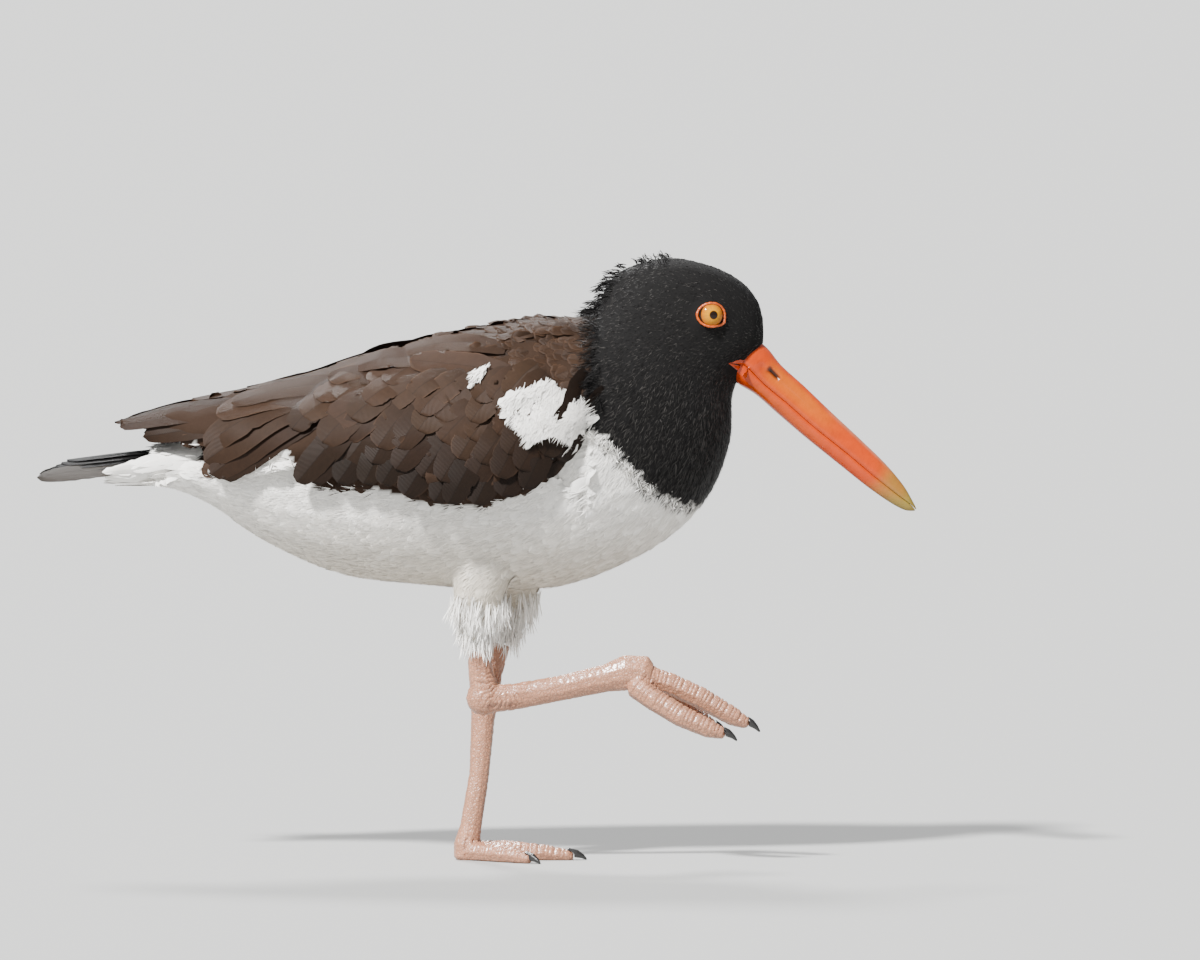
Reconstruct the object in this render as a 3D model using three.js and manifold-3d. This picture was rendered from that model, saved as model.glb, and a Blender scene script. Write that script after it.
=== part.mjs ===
// An American oystercatcher at life size, wading: it stands on its left leg and lifts its right foot.
// Millimetres, +X towards the bill, +Y to the bird's left, +Z up. The floor under the foot is z = 0.
import * as THREE from "three";
import { mergeVertices } from "three/addons/utils/BufferGeometryUtils.js";
import Module from "manifold-3d";

const wasm = await Module();
wasm.setup();

const GAP = 0.3; // air kept between nodes that touch
const MERGE_WITHIN = 1e-3; // vertices closer than this are one
const LEAST = 0.01; // stands in for a length of nothing

// The body in side view, from the undertail to the crown: each rib runs from a dorsal point to a
// ventral point, with its half width and the share of the way down at which it is widest.
const RIBS = [
  // dorsal x, z, ventral x, z, half width, widest at
  [-149, 155, -149, 154, 0, 0.5],
  [-145, 159, -146, 151.5, 10, 0.5],
  [-134, 162.5, -134, 149.5, 16, 0.5],
  [-122, 164.5, -121, 148, 20, 0.5],
  [-108, 169, -107, 142, 24, 0.48],
  [-88, 178, -90, 130, 30, 0.46],
  [-66, 191, -71, 120, 36, 0.46],
  [-42, 201, -50, 112.5, 40, 0.46],
  [-18, 207, -22, 109.5, 42, 0.46],
  [4, 212.5, 6, 107.5, 43, 0.46],
  [24, 216.5, 34, 108.5, 43, 0.45],
  [38, 218.5, 59, 117.5, 41.5, 0.45],
  [45, 219.7, 78, 128.5, 38.5, 0.45],
  [47.5, 221.5, 91, 141, 35, 0.46],
  [48.5, 224, 99, 155, 31, 0.46],
  [49.5, 227, 103.5, 171, 27, 0.46],
  [51, 230.5, 103.5, 185, 23, 0.46],
  [53, 233.5, 107, 193.5, 20.5, 0.45],
  [56.5, 236.5, 115, 203, 19, 0.43],
  [61.5, 239, 116.5, 212, 18.2, 0.42],
  [67.5, 241, 114.5, 223.5, 16.5, 0.42],
  [74, 242.2, 107.5, 232.5, 12.5, 0.45],
  [81, 242.4, 97, 238.3, 7, 0.5],
  [88.5, 240.8, 88.5, 240.8, 0, 0.5],
];
const FLESH_SIDES = 24;
const TAIL_END_STATIONS = [0.12, 0.4, 0.7]; // further rings between the first two ribs
const CROWN_STATIONS = [0.55, 0.2]; // and before the last rib
const TAIL_CUT_X = -100;
const NECK_RIB = 13; // the cut between torso and neck lies on this rib
const HEAD_RIB = 16.6; // and the one between neck and head on this one

// The folded wings' outer form, from the shoulder to the tips.
const WING = [
  // x, top z, lower edge z, half width, thickness
  [49, 213, 195, 33, 8],
  [41, 219.5, 171, 42.2, 10],
  [26, 221, 153, 46.5, 11],
  [4, 217.5, 145, 48.5, 12],
  [-18, 212, 146, 48.5, 12],
  [-42, 205, 151, 46, 12],
  [-66, 196.5, 155, 42, 12],
  [-86, 191, 157, 37, 11],
  [-108, 186.5, 163, 29, 6],
  [-130, 181, 170, 19, 3.5],
  [-144, 176.5, 173.5, 12, 1.6],
];
const WING_TOP_DEG = 6; // angles round the wing's form, from straight up
const WING_LOW_DEG = 105;
const WING_COSINES = [-0.6, 0.998]; // how low and how high on that form a feather may lie
const CORE_LOW_DEG = 92; // the shell under the feathers stops short of their tips
const CORE_SUNK = 1.2;
const CORE_COLUMNS = 8;

// Wing feathers in tiers, each tier laid over the one before it: how many, the x of the first and
// last tip, the share of the way from the wing's top to its lower edge at which the tips lie, then
// length, half width, and the slope in degrees of the first and the last feather.
const TIERS = {
  primary: [4, -144, -118, 0.72, 1, 84, 5.5, 5, 9],
  fan: [4, -109, -82, 1.2, 0.98, 60, 7.6, 24, 30],
  secondary: [9, -73, 29, 0.94, 0.97, 36, 7, 50, 62],
  medianCovert: [7, -62, 32, 0.72, 0.72, 30, 7, 38, 54],
  lesserCovert: [5, -56, 34, 0.5, 0.46, 28, 7.4, 22, 36],
  tertial: [4, -132, -96, 0.3, 0.5, 78, 7.5, 9, 12],
  lowerScapular: [5, -76, 24, 0.32, 0.28, 38, 7.6, 12, 16],
  upperScapular: [5, -104, 12, 0.09, 0.1, 42, 7.4, 10, 10],
};
const VARY_TIP_X = 2; // how far each feather departs from its tier, in mm or as shares
const VARY_TIP_DOWN = 0.04;
const VARY_SLOPE = 0.15;
const VARY_SIZE = 0.08;
const SEED = 7;

// A feather: the places of its rings from root to tip, and its width at each as a share of the widest.
const VANE_AT = [0, 0.45, 0.84, 1];
const VANE_WIDTH = [0.6, 1, 0.82, 0.12];
const VANE_SUNK = 3; // how deep a feather's root lies in what carries it
const VANE_RAISED = 1.1; // how far its tip stands out
const VANE_RISES_BY = 0.62; // the share of its length at which it stands out in full
const VANE_RIDGE = 1.1; // its thickness along the shaft
const VANE_TIP_RIDGE = 0.55;
const VANE_LEAN = new THREE.Vector3(0, 0, 0.2); // turns each feather's lower edge outwards

// The bill along its own axis, from the face to the tip.
const BILL_START = [110.5, 198.5];
const BILL_DROP_DEG = 41.8;
const BILL = [
  // distance, ridge, mouth line, underside, half width
  [-12, 6, -3, -7, 6.5],
  [0, 9, -2, -9.5, 7],
  [9, 7.6, -2.5, -8, 5.8],
  [21, 7.5, -2.1, -7.8, 5],
  [35, 7, -2, -7.5, 4.5],
  [52, 6.6, -1.1, -6.6, 4],
  [66, 6, -0.7, -5.8, 3.3],
  [77, 4.4, -0.1, -4.5, 2.5],
  [84, 2.2, 0.5, -2.8, 1.7],
  [87.5, 0.9, 0.6, 0.1, 0.8],
];
const BILL_COLUMNS = 10; // points across each mandible's arch
const BILL_ARCH = 0.8; // a lower power makes the arch fuller
const BILL_LEAST = 0.15; // the least height of a mandible
const MOUTH_GAP = 0.4;
const NOSTRIL_AT = [8, 3.3]; // along the bill and above its axis
const NOSTRIL = [6.5, 30, 1.1]; // length, reach through the bill, height
// The line of the mouth in the face: the corner, the bill's base, and how deep and how high it is cut.
const GAPE = [100.8, 199.6];
const GAPE_END = [111.5, 197.6];
const GAPE_DEPTH = 1.6;
const GAPE_HEIGHT = 0.6;
const FACE_ACROSS = 60;

const EYE_X = 94;
const EYE_Z = 218.2;
const EYE_RADIUS = 6;
const EYE_SHOWS = 2.6; // how far the eyeball stands out from the middle of its socket
const EYE_AHEAD_RAD = 0.28; // how far each eye looks ahead of straight sideways
const EYE_UPWARDS = 0.06;
const LID_RADIUS = 5.8;
const LID_TUBE = 0.9;
const LID_RAISED = 0.3;
const BALL_SIDES = [12, 8];

// Legs: the left one stands and the right one is lifted. Each row is x, y, z, depth radius, width radius.
const STANDING = {
  thigh: [
    [18, 17, 124, 13, 11],
    [15, 15, 107, 11, 8.5],
    [10, 11.5, 88, 5.6, 4.8],
  ],
  shank: [
    [10, 11.5, 88, 4.1, 3.5],
    [6, 9, 74, 4.3, 3.6],
    [3.6, 7.5, 63, 5.8, 4.6],
  ],
  ankle: [3.6, 7.3, 63, 6.2, 4.9],
  tarsus: [
    [3.2, 7.2, 62, 5.2, 4.3],
    [2.6, 6.8, 55, 4.6, 3.9],
    [1.2, 4.5, 34, 3.9, 3.3],
    [-2.2, 2.6, 13, 4.2, 3.8],
    [-3.8, 2.2, 6, 5, 5.2],
    [-3.8, 2.2, 1.2, 5, 5.2],
  ],
};
const LIFTED = {
  thigh: [
    [4, -19, 122, 14, 10],
    [1, -18, 106, 11.5, 8.5],
    [1, -16.5, 95, 7.5, 6.2],
    [1, -16, 87, 5.2, 4.6],
  ],
  shank: [
    [1, -16, 88, 4.4, 3.6],
    [2, -15.6, 76, 4.8, 3.8],
    [4, -15.2, 67, 6.2, 4.8],
  ],
  ankle: [3.2, -15.2, 66, 7, 5.2],
  tarsus: [
    [3.5, -15.2, 65.6, 5.6, 4.4],
    [14, -15.3, 66.4, 5.3, 3.8],
    [33, -15.6, 69.8, 4.9, 3.5],
    [52, -16, 74, 5.4, 4],
    [60, -16, 76.2, 7, 5.2],
    [66.5, -16, 75.5, 7.6, 5.6],
    [70.5, -16, 73, 4.5, 4.5],
  ],
};
const LEG_SIDES = 10;
const TUBE_END = [[0.8, 0.25], [0.35, 0.45]]; // a tube's rounded end: share of its radius, then how far on
const TUBE_ALONG = 0.05; // the step over which a tube's way is measured
const FLOOR_Z = 0; // the height of every sole that stands
// Toes: the thickness at the root, the joints and the tip. A toe is a little flatter where it stands.
const TOE_THICK = [4.6, 4.3, 4.2, 3.6, 2.2];
const TOE_SIDES = 8;
const STANDING_FLAT = 0.9;
const STANDING_HIGH = 0.78; // its middle's height as a share of its thickness
const LIFTED_DEEP = 1.02;
const LIFTED_WIDE = 0.95;
// The standing toes leave one root: name, bearing in degrees, length.
const STANDING_ROOT = [-3.8, 2.2];
const STANDING_TOES = [
  ["middle", -3, 41],
  ["outer", 31, 33],
  ["inner", -39, 31],
];
const LIFTED_TOES = [
  ["middle", [[68, -16, 74.5], [78, -15.5, 71.5], [90, -15.5, 66], [103, -15.5, 58.5], [108, -15.5, 56]]],
  ["outer", [[64, -19, 71], [71, -23, 66], [82, -25, 59.5], [93, -25.5, 54.5], [98.5, -25.5, 52.5]]],
  ["inner", [[67, -12, 72], [74, -8.5, 67.5], [82, -6.5, 61.5], [90, -6, 56.5], [95, -6, 54]]],
];
// Claws: how far past the toe's last joint, how far above its line, radius.
const CLAW = [
  [-1.5, 1.2, 1.9],
  [2.4, 1, 1.6],
  [4.5, 0.3, 0.95],
  [6, -0.7, 0.4],
];
const CLAW_FLAT = 0.9;
const CLAW_SIDES = 6;

// Tail feathers in pairs, the middle pair uppermost; the others lie lower and reach further back.
const TAIL_PAIRS = 5;
const TAIL_ROOT = [-99, 166.5]; // x, z of the middle pair's root
const TAIL_TIP = [-163.6, 160.2]; // and of its tip
const TAIL_ROOT_STEP = [0, 1.9, -0.8]; // from pair to pair, x, y and z
const TAIL_TIP_STEP = [-2.8, 2.9, -1.35];
const TAIL_HALF_WIDTH = 6.4;
const TAIL_MIDDLE_Y = 2; // how far the middle pair's shafts lie from the middle plane
const TAIL_ROLL_DEG = 6; // how much more each pair droops at its outer edge
const TAIL_CORE_X = [-101, -128]; // the fused core between the feathers' roots
// The room that the tail takes in the rear of the body: x, half width, floor z, fall to the sides.
const TAIL_ROOM = [
  [-90, 13, 166.4, 6.4],
  [-99, 13.6, 165.5, 7],
  [-125, 16.5, 163, 7.8],
  [-156, 20, 159.8, 8.6],
];
const TAIL_ROOM_TOP = 190;

// Each material's colour and roughness.
const MATERIALS = {
  black: [0x1b1a1b, 0.9],
  brown: [0x4a3526, 0.7],
  white: [0xeeebe4, 0.9],
  bill: [0xf0600c, 0.35],
  eye: [0xf4a90c, 0.1],
  leg: [0xe3b09a, 0.6],
  claw: [0x232024, 0.4],
};

const bird = new THREE.Group();

function material(kind) {
  const [color, roughness] = MATERIALS[kind];
  return new THREE.MeshStandardMaterial({ color, roughness, metalness: 0 });
}

// A solid from a closed geometry whose shared vertices are merged.
function solid(geometry) {
  const bare = new THREE.BufferGeometry().setAttribute("position", geometry.getAttribute("position"));
  bare.setIndex(geometry.getIndex());
  const merged = mergeVertices(bare, MERGE_WITHIN);
  return new wasm.Manifold(
    new wasm.Mesh({
      numProp: 3,
      vertProperties: merged.getAttribute("position").array,
      triVerts: new Uint32Array(merged.getIndex().array),
    }),
  );
}

// The largest closed surface of a solid, which drops scraps and fills sealed hollows.
function largest(made) {
  return made.decompose().reduce((a, b) => (b.volume() > a.volume() ? b : a));
}

function geometryOf(made) {
  const mesh = made.getMesh();
  const geometry = new THREE.BufferGeometry();
  geometry.setAttribute("position", new THREE.BufferAttribute(mesh.vertProperties, 3));
  geometry.setIndex(new THREE.BufferAttribute(mesh.triVerts, 1));
  return geometry;
}

// Joining leaves slivers, so each node's close vertices are merged and its largest surface is kept again.
function add(name, kind, made) {
  const geometry = geometryOf(largest(solid(geometryOf(largest(made)))));
  geometry.computeVertexNormals();
  const placed = new THREE.Mesh(geometry, material(kind));
  placed.name = name;
  bird.add(placed);
}

// Rows of numbers joined by a Catmull-Rom curve: row i is met at s = i.
function through(rows) {
  const row = (i) => rows[THREE.MathUtils.clamp(i, 0, rows.length - 1)];
  return (s) => {
    const i = THREE.MathUtils.clamp(Math.floor(s), 0, rows.length - 2);
    const t = s - i;
    return rows[0].map((_, n) => {
      const [a, b, c, d] = [row(i - 1)[n], row(i)[n], row(i + 1)[n], row(i + 2)[n]];
      const turn = 2 * b + (c - a) * t;
      return 0.5 * (turn + (2 * a - 5 * b + 4 * c - d) * t * t + (3 * b - a - 3 * c + d) * t ** 3);
    });
  };
}

// A closed skin over rings of equal count, with a point or a flat fan at each end.
function loft(rings) {
  const count = rings[0].length;
  const points = rings.flat();
  const faces = [];
  const at = (i, j) => i * count + (j % count);
  for (let i = 0; i + 1 < rings.length; i++)
    for (let j = 0; j < count; j++) {
      faces.push(at(i, j), at(i, j + 1), at(i + 1, j + 1));
      faces.push(at(i, j), at(i + 1, j + 1), at(i + 1, j));
    }
  [0, rings.length - 1].forEach((i) => {
    const middle = new THREE.Vector3();
    rings[i].forEach((p) => middle.add(p));
    points.push(middle.divideScalar(count));
    for (let j = 0; j < count; j++)
      faces.push(...(i ? [at(i, j), at(i, j + 1)] : [at(i, j + 1), at(i, j)]), points.length - 1);
  });
  return outwards(points, faces);
}

// A solid from points and faces, turned so that its faces look outwards.
function outwards(points, faces) {
  const geometry = new THREE.BufferGeometry().setFromPoints(points);
  geometry.setIndex(faces);
  const made = solid(geometry);
  return made.volume() < 0 ? solid(flipped(geometry)) : made;
}

function flipped(geometry) {
  const index = geometry.getIndex().array;
  for (let i = 0; i < index.length; i += 3) [index[i], index[i + 1]] = [index[i + 1], index[i]];
  return geometry;
}

// The body's whole form, grown outwards by a margin.
const rib = through(RIBS);
function fleshRing(s, grow, sides) {
  const [dx, dz, vx, vz, halfWidth, widest] = rib(s);
  const dorsal = new THREE.Vector3(dx, 0, dz);
  const ventral = new THREE.Vector3(vx, 0, vz);
  const down = ventral.clone().sub(dorsal);
  const length = Math.max(down.length(), LEAST);
  down.divideScalar(length);
  const skew = Math.log(widest) / Math.log(0.5);
  return Array.from({ length: sides }, (_, j) => {
    const turn = (2 * Math.PI * j) / sides;
    const share = ((1 - Math.cos(turn)) / 2) ** skew;
    const point = dorsal.clone().addScaledVector(down, share * length + grow * (2 * share - 1));
    point.y = (Math.max(halfWidth, 0) + grow) * Math.sin(turn);
    return point;
  });
}
function flesh(grow) {
  const last = RIBS.length - 1;
  const stations = [...TAIL_END_STATIONS];
  for (let s = 1; s <= last - 1; s += 0.5) stations.push(s);
  stations.push(...CROWN_STATIONS.map((before) => last - before));
  return loft(stations.map((s) => fleshRing(s, grow, FLESH_SIDES)));
}

// The half of a solid on the side of a rib's plane that faces the bill (+1) or the tail (-1).
function pastRib(made, s, side) {
  const [dx, dz, vx, vz] = rib(s);
  const normal = new THREE.Vector3(dz - vz, 0, vx - dx).normalize().multiplyScalar(side);
  const offset = normal.x * dx + normal.z * dz + GAP / 2;
  return made.trimByPlane(normal.toArray(), offset);
}

function ellipsoid(x, y, z, rx, ry, rz) {
  const geometry = new THREE.SphereGeometry(1, ...BALL_SIDES);
  geometry.scale(rx, ry, rz).translate(x, y, z);
  return solid(geometry);
}

// How far the body reaches to one side at a point of the side view.
const FAR_OUT = 200;
function sideReach(x, z) {
  const from = new THREE.Vector3(x, FAR_OUT, z);
  const hit = new THREE.Raycaster(from, new THREE.Vector3(0, -1, 0)).intersectObject(probe)[0];
  return hit.point.y;
}

const whole = flesh(0);
const wholeGrown = flesh(GAP);
const probe = new THREE.Mesh(geometryOf(whole), new THREE.MeshStandardMaterial({ side: THREE.DoubleSide }));

// The room of the tail, grown by a margin.
function tailRoom(grow) {
  const across = [-1, -0.6, 0, 0.6, 1];
  const outer = TAIL_ROOM.map(([x, half]) =>
    across.map((k) => new THREE.Vector3(x, (half + grow) * k, TAIL_ROOM_TOP)),
  );
  const inner = TAIL_ROOM.map(([x, half, floor, fall]) =>
    across.map((k) => new THREE.Vector3(x, (half + grow) * k, floor - fall * k * k - grow)),
  );
  return slab(outer, inner);
}

// Head, with a socket for each eye, a raised lid round it and the line of the mouth.
function eyeFrame(side, raised) {
  const [ahead, sideways] = [Math.sin(EYE_AHEAD_RAD), Math.cos(EYE_AHEAD_RAD)];
  const out = new THREE.Vector3(ahead, side * sideways, EYE_UPWARDS).normalize();
  const centre = new THREE.Vector3(EYE_X, side * sideReach(EYE_X, EYE_Z), EYE_Z);
  return { out, centre: centre.addScaledVector(out, raised) };
}
function eyeball(side, grow) {
  const { centre } = eyeFrame(side, EYE_SHOWS - EYE_RADIUS);
  const r = EYE_RADIUS + grow;
  return ellipsoid(centre.x, centre.y, centre.z, r, r, r);
}
function lid(side) {
  const { out, centre } = eyeFrame(side, LID_RAISED);
  const ring = new THREE.TorusGeometry(LID_RADIUS, LID_TUBE, 5, 16);
  const turn = new THREE.Quaternion().setFromUnitVectors(new THREE.Vector3(0, 0, 1), out);
  ring.applyQuaternion(turn).translate(centre.x, centre.y, centre.z);
  return solid(ring);
}
function mouthLine() {
  const [[x0, z0], [x1, z1]] = [GAPE, GAPE_END];
  const cut = new THREE.BoxGeometry(Math.hypot(x1 - x0, z1 - z0), FACE_ACROSS, GAPE_HEIGHT);
  cut.rotateY(-Math.atan2(z1 - z0, x1 - x0)).translate((x0 + x1) / 2, 0, (z0 + z1) / 2);
  return solid(cut).subtract(flesh(-GAPE_DEPTH));
}
let head = pastRib(whole, HEAD_RIB, 1).subtract(mouthLine());
for (const side of [1, -1]) head = head.add(lid(side)).subtract(eyeball(side, GAP));
add("head", "black", head);
add("eye_left", "eye", eyeball(1, 0));
add("eye_right", "eye", eyeball(-1, 0));
add("neck", "black", pastRib(pastRib(whole, HEAD_RIB, -1), NECK_RIB, 1));
const rear = pastRib(whole, NECK_RIB, -1).subtract(tailRoom(GAP));
add("torso", "white", rear.trimByPlane([1, 0, 0], TAIL_CUT_X + GAP / 2));
add("undertail", "white", rear.trimByPlane([-1, 0, 0], -TAIL_CUT_X + GAP / 2));

// Bill: two mandibles with the mouth line open between them, and a nostril slit through the upper one.
const billRow = through(BILL);
function billPoint(along, up, y) {
  const drop = THREE.MathUtils.degToRad(BILL_DROP_DEG);
  const x = BILL_START[0] + along * Math.cos(drop) + up * Math.sin(drop);
  return new THREE.Vector3(x, y, BILL_START[1] - along * Math.sin(drop) + up * Math.cos(drop));
}
function mandible(upper) {
  const rings = [];
  for (let s = 0; s <= BILL.length - 1; s += 1) {
    const [along, ridge, mouth, under, halfWidth] = billRow(s);
    const side = upper ? 1 : -1;
    const edge = mouth + (side * MOUTH_GAP) / 2;
    const reach = Math.max(side * ((upper ? ridge : under) - edge), BILL_LEAST);
    rings.push(
      Array.from({ length: BILL_COLUMNS }, (_, j) => {
        const turn = (Math.PI * j) / (BILL_COLUMNS - 1);
        const up = edge + side * reach * Math.sin(turn) ** BILL_ARCH;
        return billPoint(along, up, halfWidth * Math.cos(turn));
      }),
    );
  }
  return loft(rings);
}
function nostril() {
  const drop = THREE.MathUtils.degToRad(BILL_DROP_DEG);
  const slit = new THREE.CylinderGeometry(0.5, 0.5, 1, 10);
  const middle = billPoint(...NOSTRIL_AT, 0);
  slit.scale(...NOSTRIL).rotateY(drop).translate(middle.x, middle.y, middle.z);
  return solid(slit);
}
add("bill_upper", "bill", mandible(true).subtract(wholeGrown).subtract(nostril()));
add("bill_lower", "bill", mandible(false).subtract(wholeGrown));

// A tube along rows of x, y, z, depth radius (in the side view) and width radius, with round ends.
function tube(rows, grow = 0, sides = LEG_SIDES) {
  const at = through(rows);
  const last = rows.length - 1;
  const ring = (s, shrink, shift) => {
    const [x, y, z, deep, wide] = at(s);
    const [bx, by, bz] = at(Math.max(s - TUBE_ALONG, 0));
    const [cx, cy, cz] = at(Math.min(s + TUBE_ALONG, last));
    const along = new THREE.Vector3(cx - bx, cy - by, cz - bz).normalize();
    const across = new THREE.Vector3(0, 1, 0).addScaledVector(along, -along.y).normalize();
    const deepWay = new THREE.Vector3().crossVectors(along, across);
    return Array.from({ length: sides }, (_, j) => {
      const turn = (2 * Math.PI * j) / sides;
      return new THREE.Vector3(x, y, z)
        .addScaledVector(deepWay, (deep * shrink + grow) * Math.cos(turn))
        .addScaledVector(across, (wide * shrink + grow) * Math.sin(turn))
        .addScaledVector(along, shift * deep + Math.sign(shift) * grow);
    });
  };
  const middle = rows.map((_, s) => ring(s, 1, 0));
  const before = TUBE_END.map(([shrink, shift]) => ring(0, shrink, -shift)).reverse();
  const after = TUBE_END.map(([shrink, shift]) => ring(last, shrink, shift));
  return loft([...before, ...middle, ...after]);
}

// Toe rows: root, joints and tip, each with its depth and width.
function standingToe(bearing, length) {
  const turn = THREE.MathUtils.degToRad(bearing);
  return TOE_THICK.map((radius, i) => {
    const reach = 1 + (length * i) / (TOE_THICK.length - 1);
    const x = STANDING_ROOT[0] + reach * Math.cos(turn);
    const y = STANDING_ROOT[1] + reach * Math.sin(turn);
    return [x, y, FLOOR_Z + radius * STANDING_HIGH, radius * STANDING_FLAT, radius];
  });
}
function liftedToe(points) {
  return points.map((p, i) => [...p, TOE_THICK[i] * LIFTED_DEEP, TOE_THICK[i] * LIFTED_WIDE]);
}
function claw(rows) {
  const [before, tip] = rows.slice(-2).map((row) => new THREE.Vector3(...row));
  const along = tip.clone().sub(before).normalize();
  return CLAW.map(([reach, lift, radius]) => {
    const p = tip.clone().addScaledVector(along, reach);
    return [p.x, p.y, p.z + lift, radius, radius * CLAW_FLAT];
  });
}

function leg(name, rows, toes) {
  const floor = (made) => made.trimByPlane([0, 0, 1], FLOOR_Z);
  const thigh = tube(rows.thigh).subtract(wholeGrown);
  const tarsusOf = (grow) => {
    const [x, y, z, round, wide] = rows.ankle;
    return tube(rows.tarsus, grow).add(ellipsoid(x, y, z, round + grow, wide + grow, round + grow));
  };
  const tarsusGrown = tarsusOf(GAP);
  add("thigh_" + name, "white", thigh);
  add("shank_" + name, "leg", tube(rows.shank).subtract(tube(rows.thigh, GAP)).subtract(tarsusGrown));
  add("tarsus_" + name, "leg", floor(tarsusOf(0)));
  let taken = tarsusGrown;
  for (const [toe, toeRows] of toes) {
    const toeGrown = tube(toeRows, GAP, TOE_SIDES);
    add(`toe_${toe}_${name}`, "leg", floor(tube(toeRows, 0, TOE_SIDES).subtract(taken)));
    add(`claw_${toe}_${name}`, "claw", floor(tube(claw(toeRows), 0, CLAW_SIDES).subtract(toeGrown)));
    taken = taken.add(toeGrown);
  }
}
leg("left", STANDING, STANDING_TOES.map(([toe, bearing, length]) => [toe, standingToe(bearing, length)]));
leg("right", LIFTED, LIFTED_TOES.map(([toe, points]) => [toe, liftedToe(points)]));

// A solid between two grids of points, one above the other, split into triangles alike.
function slab(outer, inner) {
  const [rows, columns] = [outer.length, outer[0].length];
  const points = [...outer.flat(), ...inner.flat()];
  const at = (i, j, under) => under * rows * columns + i * columns + j;
  const faces = [];
  const quad = (a, b, c, d) => faces.push(a, b, c, a, c, d);
  for (let i = 0; i + 1 < rows; i++)
    for (let j = 0; j + 1 < columns; j++) {
      quad(at(i, j, 0), at(i, j + 1, 0), at(i + 1, j + 1, 0), at(i + 1, j, 0));
      faces.push(at(i, j, 1), at(i + 1, j + 1, 1), at(i, j + 1, 1));
      faces.push(at(i, j, 1), at(i + 1, j, 1), at(i + 1, j + 1, 1));
    }
  for (let i = 0; i + 1 < rows; i++) {
    quad(at(i + 1, 0, 1), at(i, 0, 1), at(i, 0, 0), at(i + 1, 0, 0));
    const edge = columns - 1;
    quad(at(i, edge, 1), at(i + 1, edge, 1), at(i + 1, edge, 0), at(i, edge, 0));
  }
  for (let j = 0; j + 1 < columns; j++) {
    quad(at(0, j, 1), at(0, j + 1, 1), at(0, j + 1, 0), at(0, j, 0));
    quad(at(rows - 1, j + 1, 1), at(rows - 1, j, 1), at(rows - 1, j, 0), at(rows - 1, j + 1, 0));
  }
  return outwards(points, faces);
}

// The left wing is made, and the right one mirrors it.
// This is a point of its outer form at a station and an angle from the top, sunk inwards.
const wingRow = through(WING);
const lowCosine = Math.cos(THREE.MathUtils.degToRad(WING_LOW_DEG));
function wingPoint(s, degrees, sunk) {
  const [x, top, low, halfWidth] = wingRow(s);
  const turn = THREE.MathUtils.degToRad(degrees);
  const high = (top - low) / (1 - lowCosine);
  const y = Math.max(halfWidth - sunk, GAP) * Math.sin(turn);
  return new THREE.Vector3(x, y, top - high + Math.max(high - sunk, GAP) * Math.cos(turn));
}

// One feather: a blade of three-sided rings from its root to its tip. The path gives each ring's
// middle, and out gives the way that its upper face looks.
function vane(path, out, halfWidth) {
  const middles = VANE_AT.map(path);
  const tip = middles.length - 1;
  const rings = middles.map((middle, i) => {
    const [before, after] = [middles[Math.max(i - 1, 0)], middles[Math.min(i + 1, tip)]];
    const along = after.clone().sub(before).normalize();
    const across = new THREE.Vector3().crossVectors(along, out(VANE_AT[i])).normalize();
    const up = new THREE.Vector3().crossVectors(across, along);
    const half = halfWidth * VANE_WIDTH[i];
    const ridge = i < tip ? VANE_RIDGE : VANE_TIP_RIDGE;
    return [
      middle.clone().addScaledVector(across, half),
      middle.clone().addScaledVector(up, ridge),
      middle.clone().addScaledVector(across, -half),
    ];
  });
  return loft(rings);
}

// The station of the wing's form at an x, found by halving.
function stationAt(x) {
  let [s, end] = [0, WING.length - 1];
  while (end - s > 1e-3) {
    const middle = (s + end) / 2;
    if (wingRow(middle)[0] > x) s = middle;
    else end = middle;
  }
  return s;
}

// The wing form's surface at a place of the side view, raised outwards.
function wingAt(x, z, raised) {
  const s = stationAt(x);
  const [, top, low] = wingRow(s);
  const cosine = THREE.MathUtils.clamp(1 - ((top - z) * (1 - lowCosine)) / (top - low), ...WING_COSINES);
  return wingPoint(s, THREE.MathUtils.radToDeg(Math.acos(cosine)), -raised);
}
function wingFeather(tipX, tipDown, length, halfWidth, slopeDeg) {
  const [, top, low] = wingRow(stationAt(tipX));
  const tipZ = top - tipDown * (top - low);
  const slope = THREE.MathUtils.degToRad(slopeDeg);
  const at = (t, raised) => {
    const back = length * (1 - t);
    return wingAt(tipX + back * Math.cos(slope), tipZ + back * Math.sin(slope), raised);
  };
  const raisedAt = (t) => THREE.MathUtils.lerp(-VANE_SUNK, VANE_RAISED, Math.min(t / VANE_RISES_BY, 1));
  return vane(
    (t) => at(t, raisedAt(t)),
    (t) => at(t, 1).sub(at(t, 0)).add(VANE_LEAN),
    halfWidth,
  );
}

// The thin shell that carries the feathers.
function wingCore() {
  const arcs = (sunkOf) =>
    WING.map((row, s) =>
      Array.from({ length: CORE_COLUMNS + 1 }, (_, j) => {
        const degrees = THREE.MathUtils.lerp(WING_TOP_DEG, CORE_LOW_DEG, j / CORE_COLUMNS);
        return wingPoint(s, degrees, sunkOf(row));
      }),
    );
  return slab(
    arcs(() => CORE_SUNK),
    arcs(([, , , , thickness]) => thickness),
  );
}
function tier([count, x0, x1, down0, down1, length, half, slope0, slope1]) {
  const vary = (by) => by * (2 * THREE.MathUtils.seededRandom() - 1);
  return Array.from({ length: count }, (_, i) => {
    const between = (a, b) => THREE.MathUtils.lerp(a, b, i / (count - 1));
    const tipX = between(x0, x1) + vary(VARY_TIP_X);
    const tipDown = between(down0, down1) * (1 + vary(VARY_TIP_DOWN));
    const slope = between(slope0, slope1) * (1 + vary(VARY_SLOPE));
    const [longer, wider] = [1 + vary(VARY_SIZE), 1 + vary(VARY_SIZE)];
    return wingFeather(tipX, tipDown, length * longer, half * wider, slope);
  });
}
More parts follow.
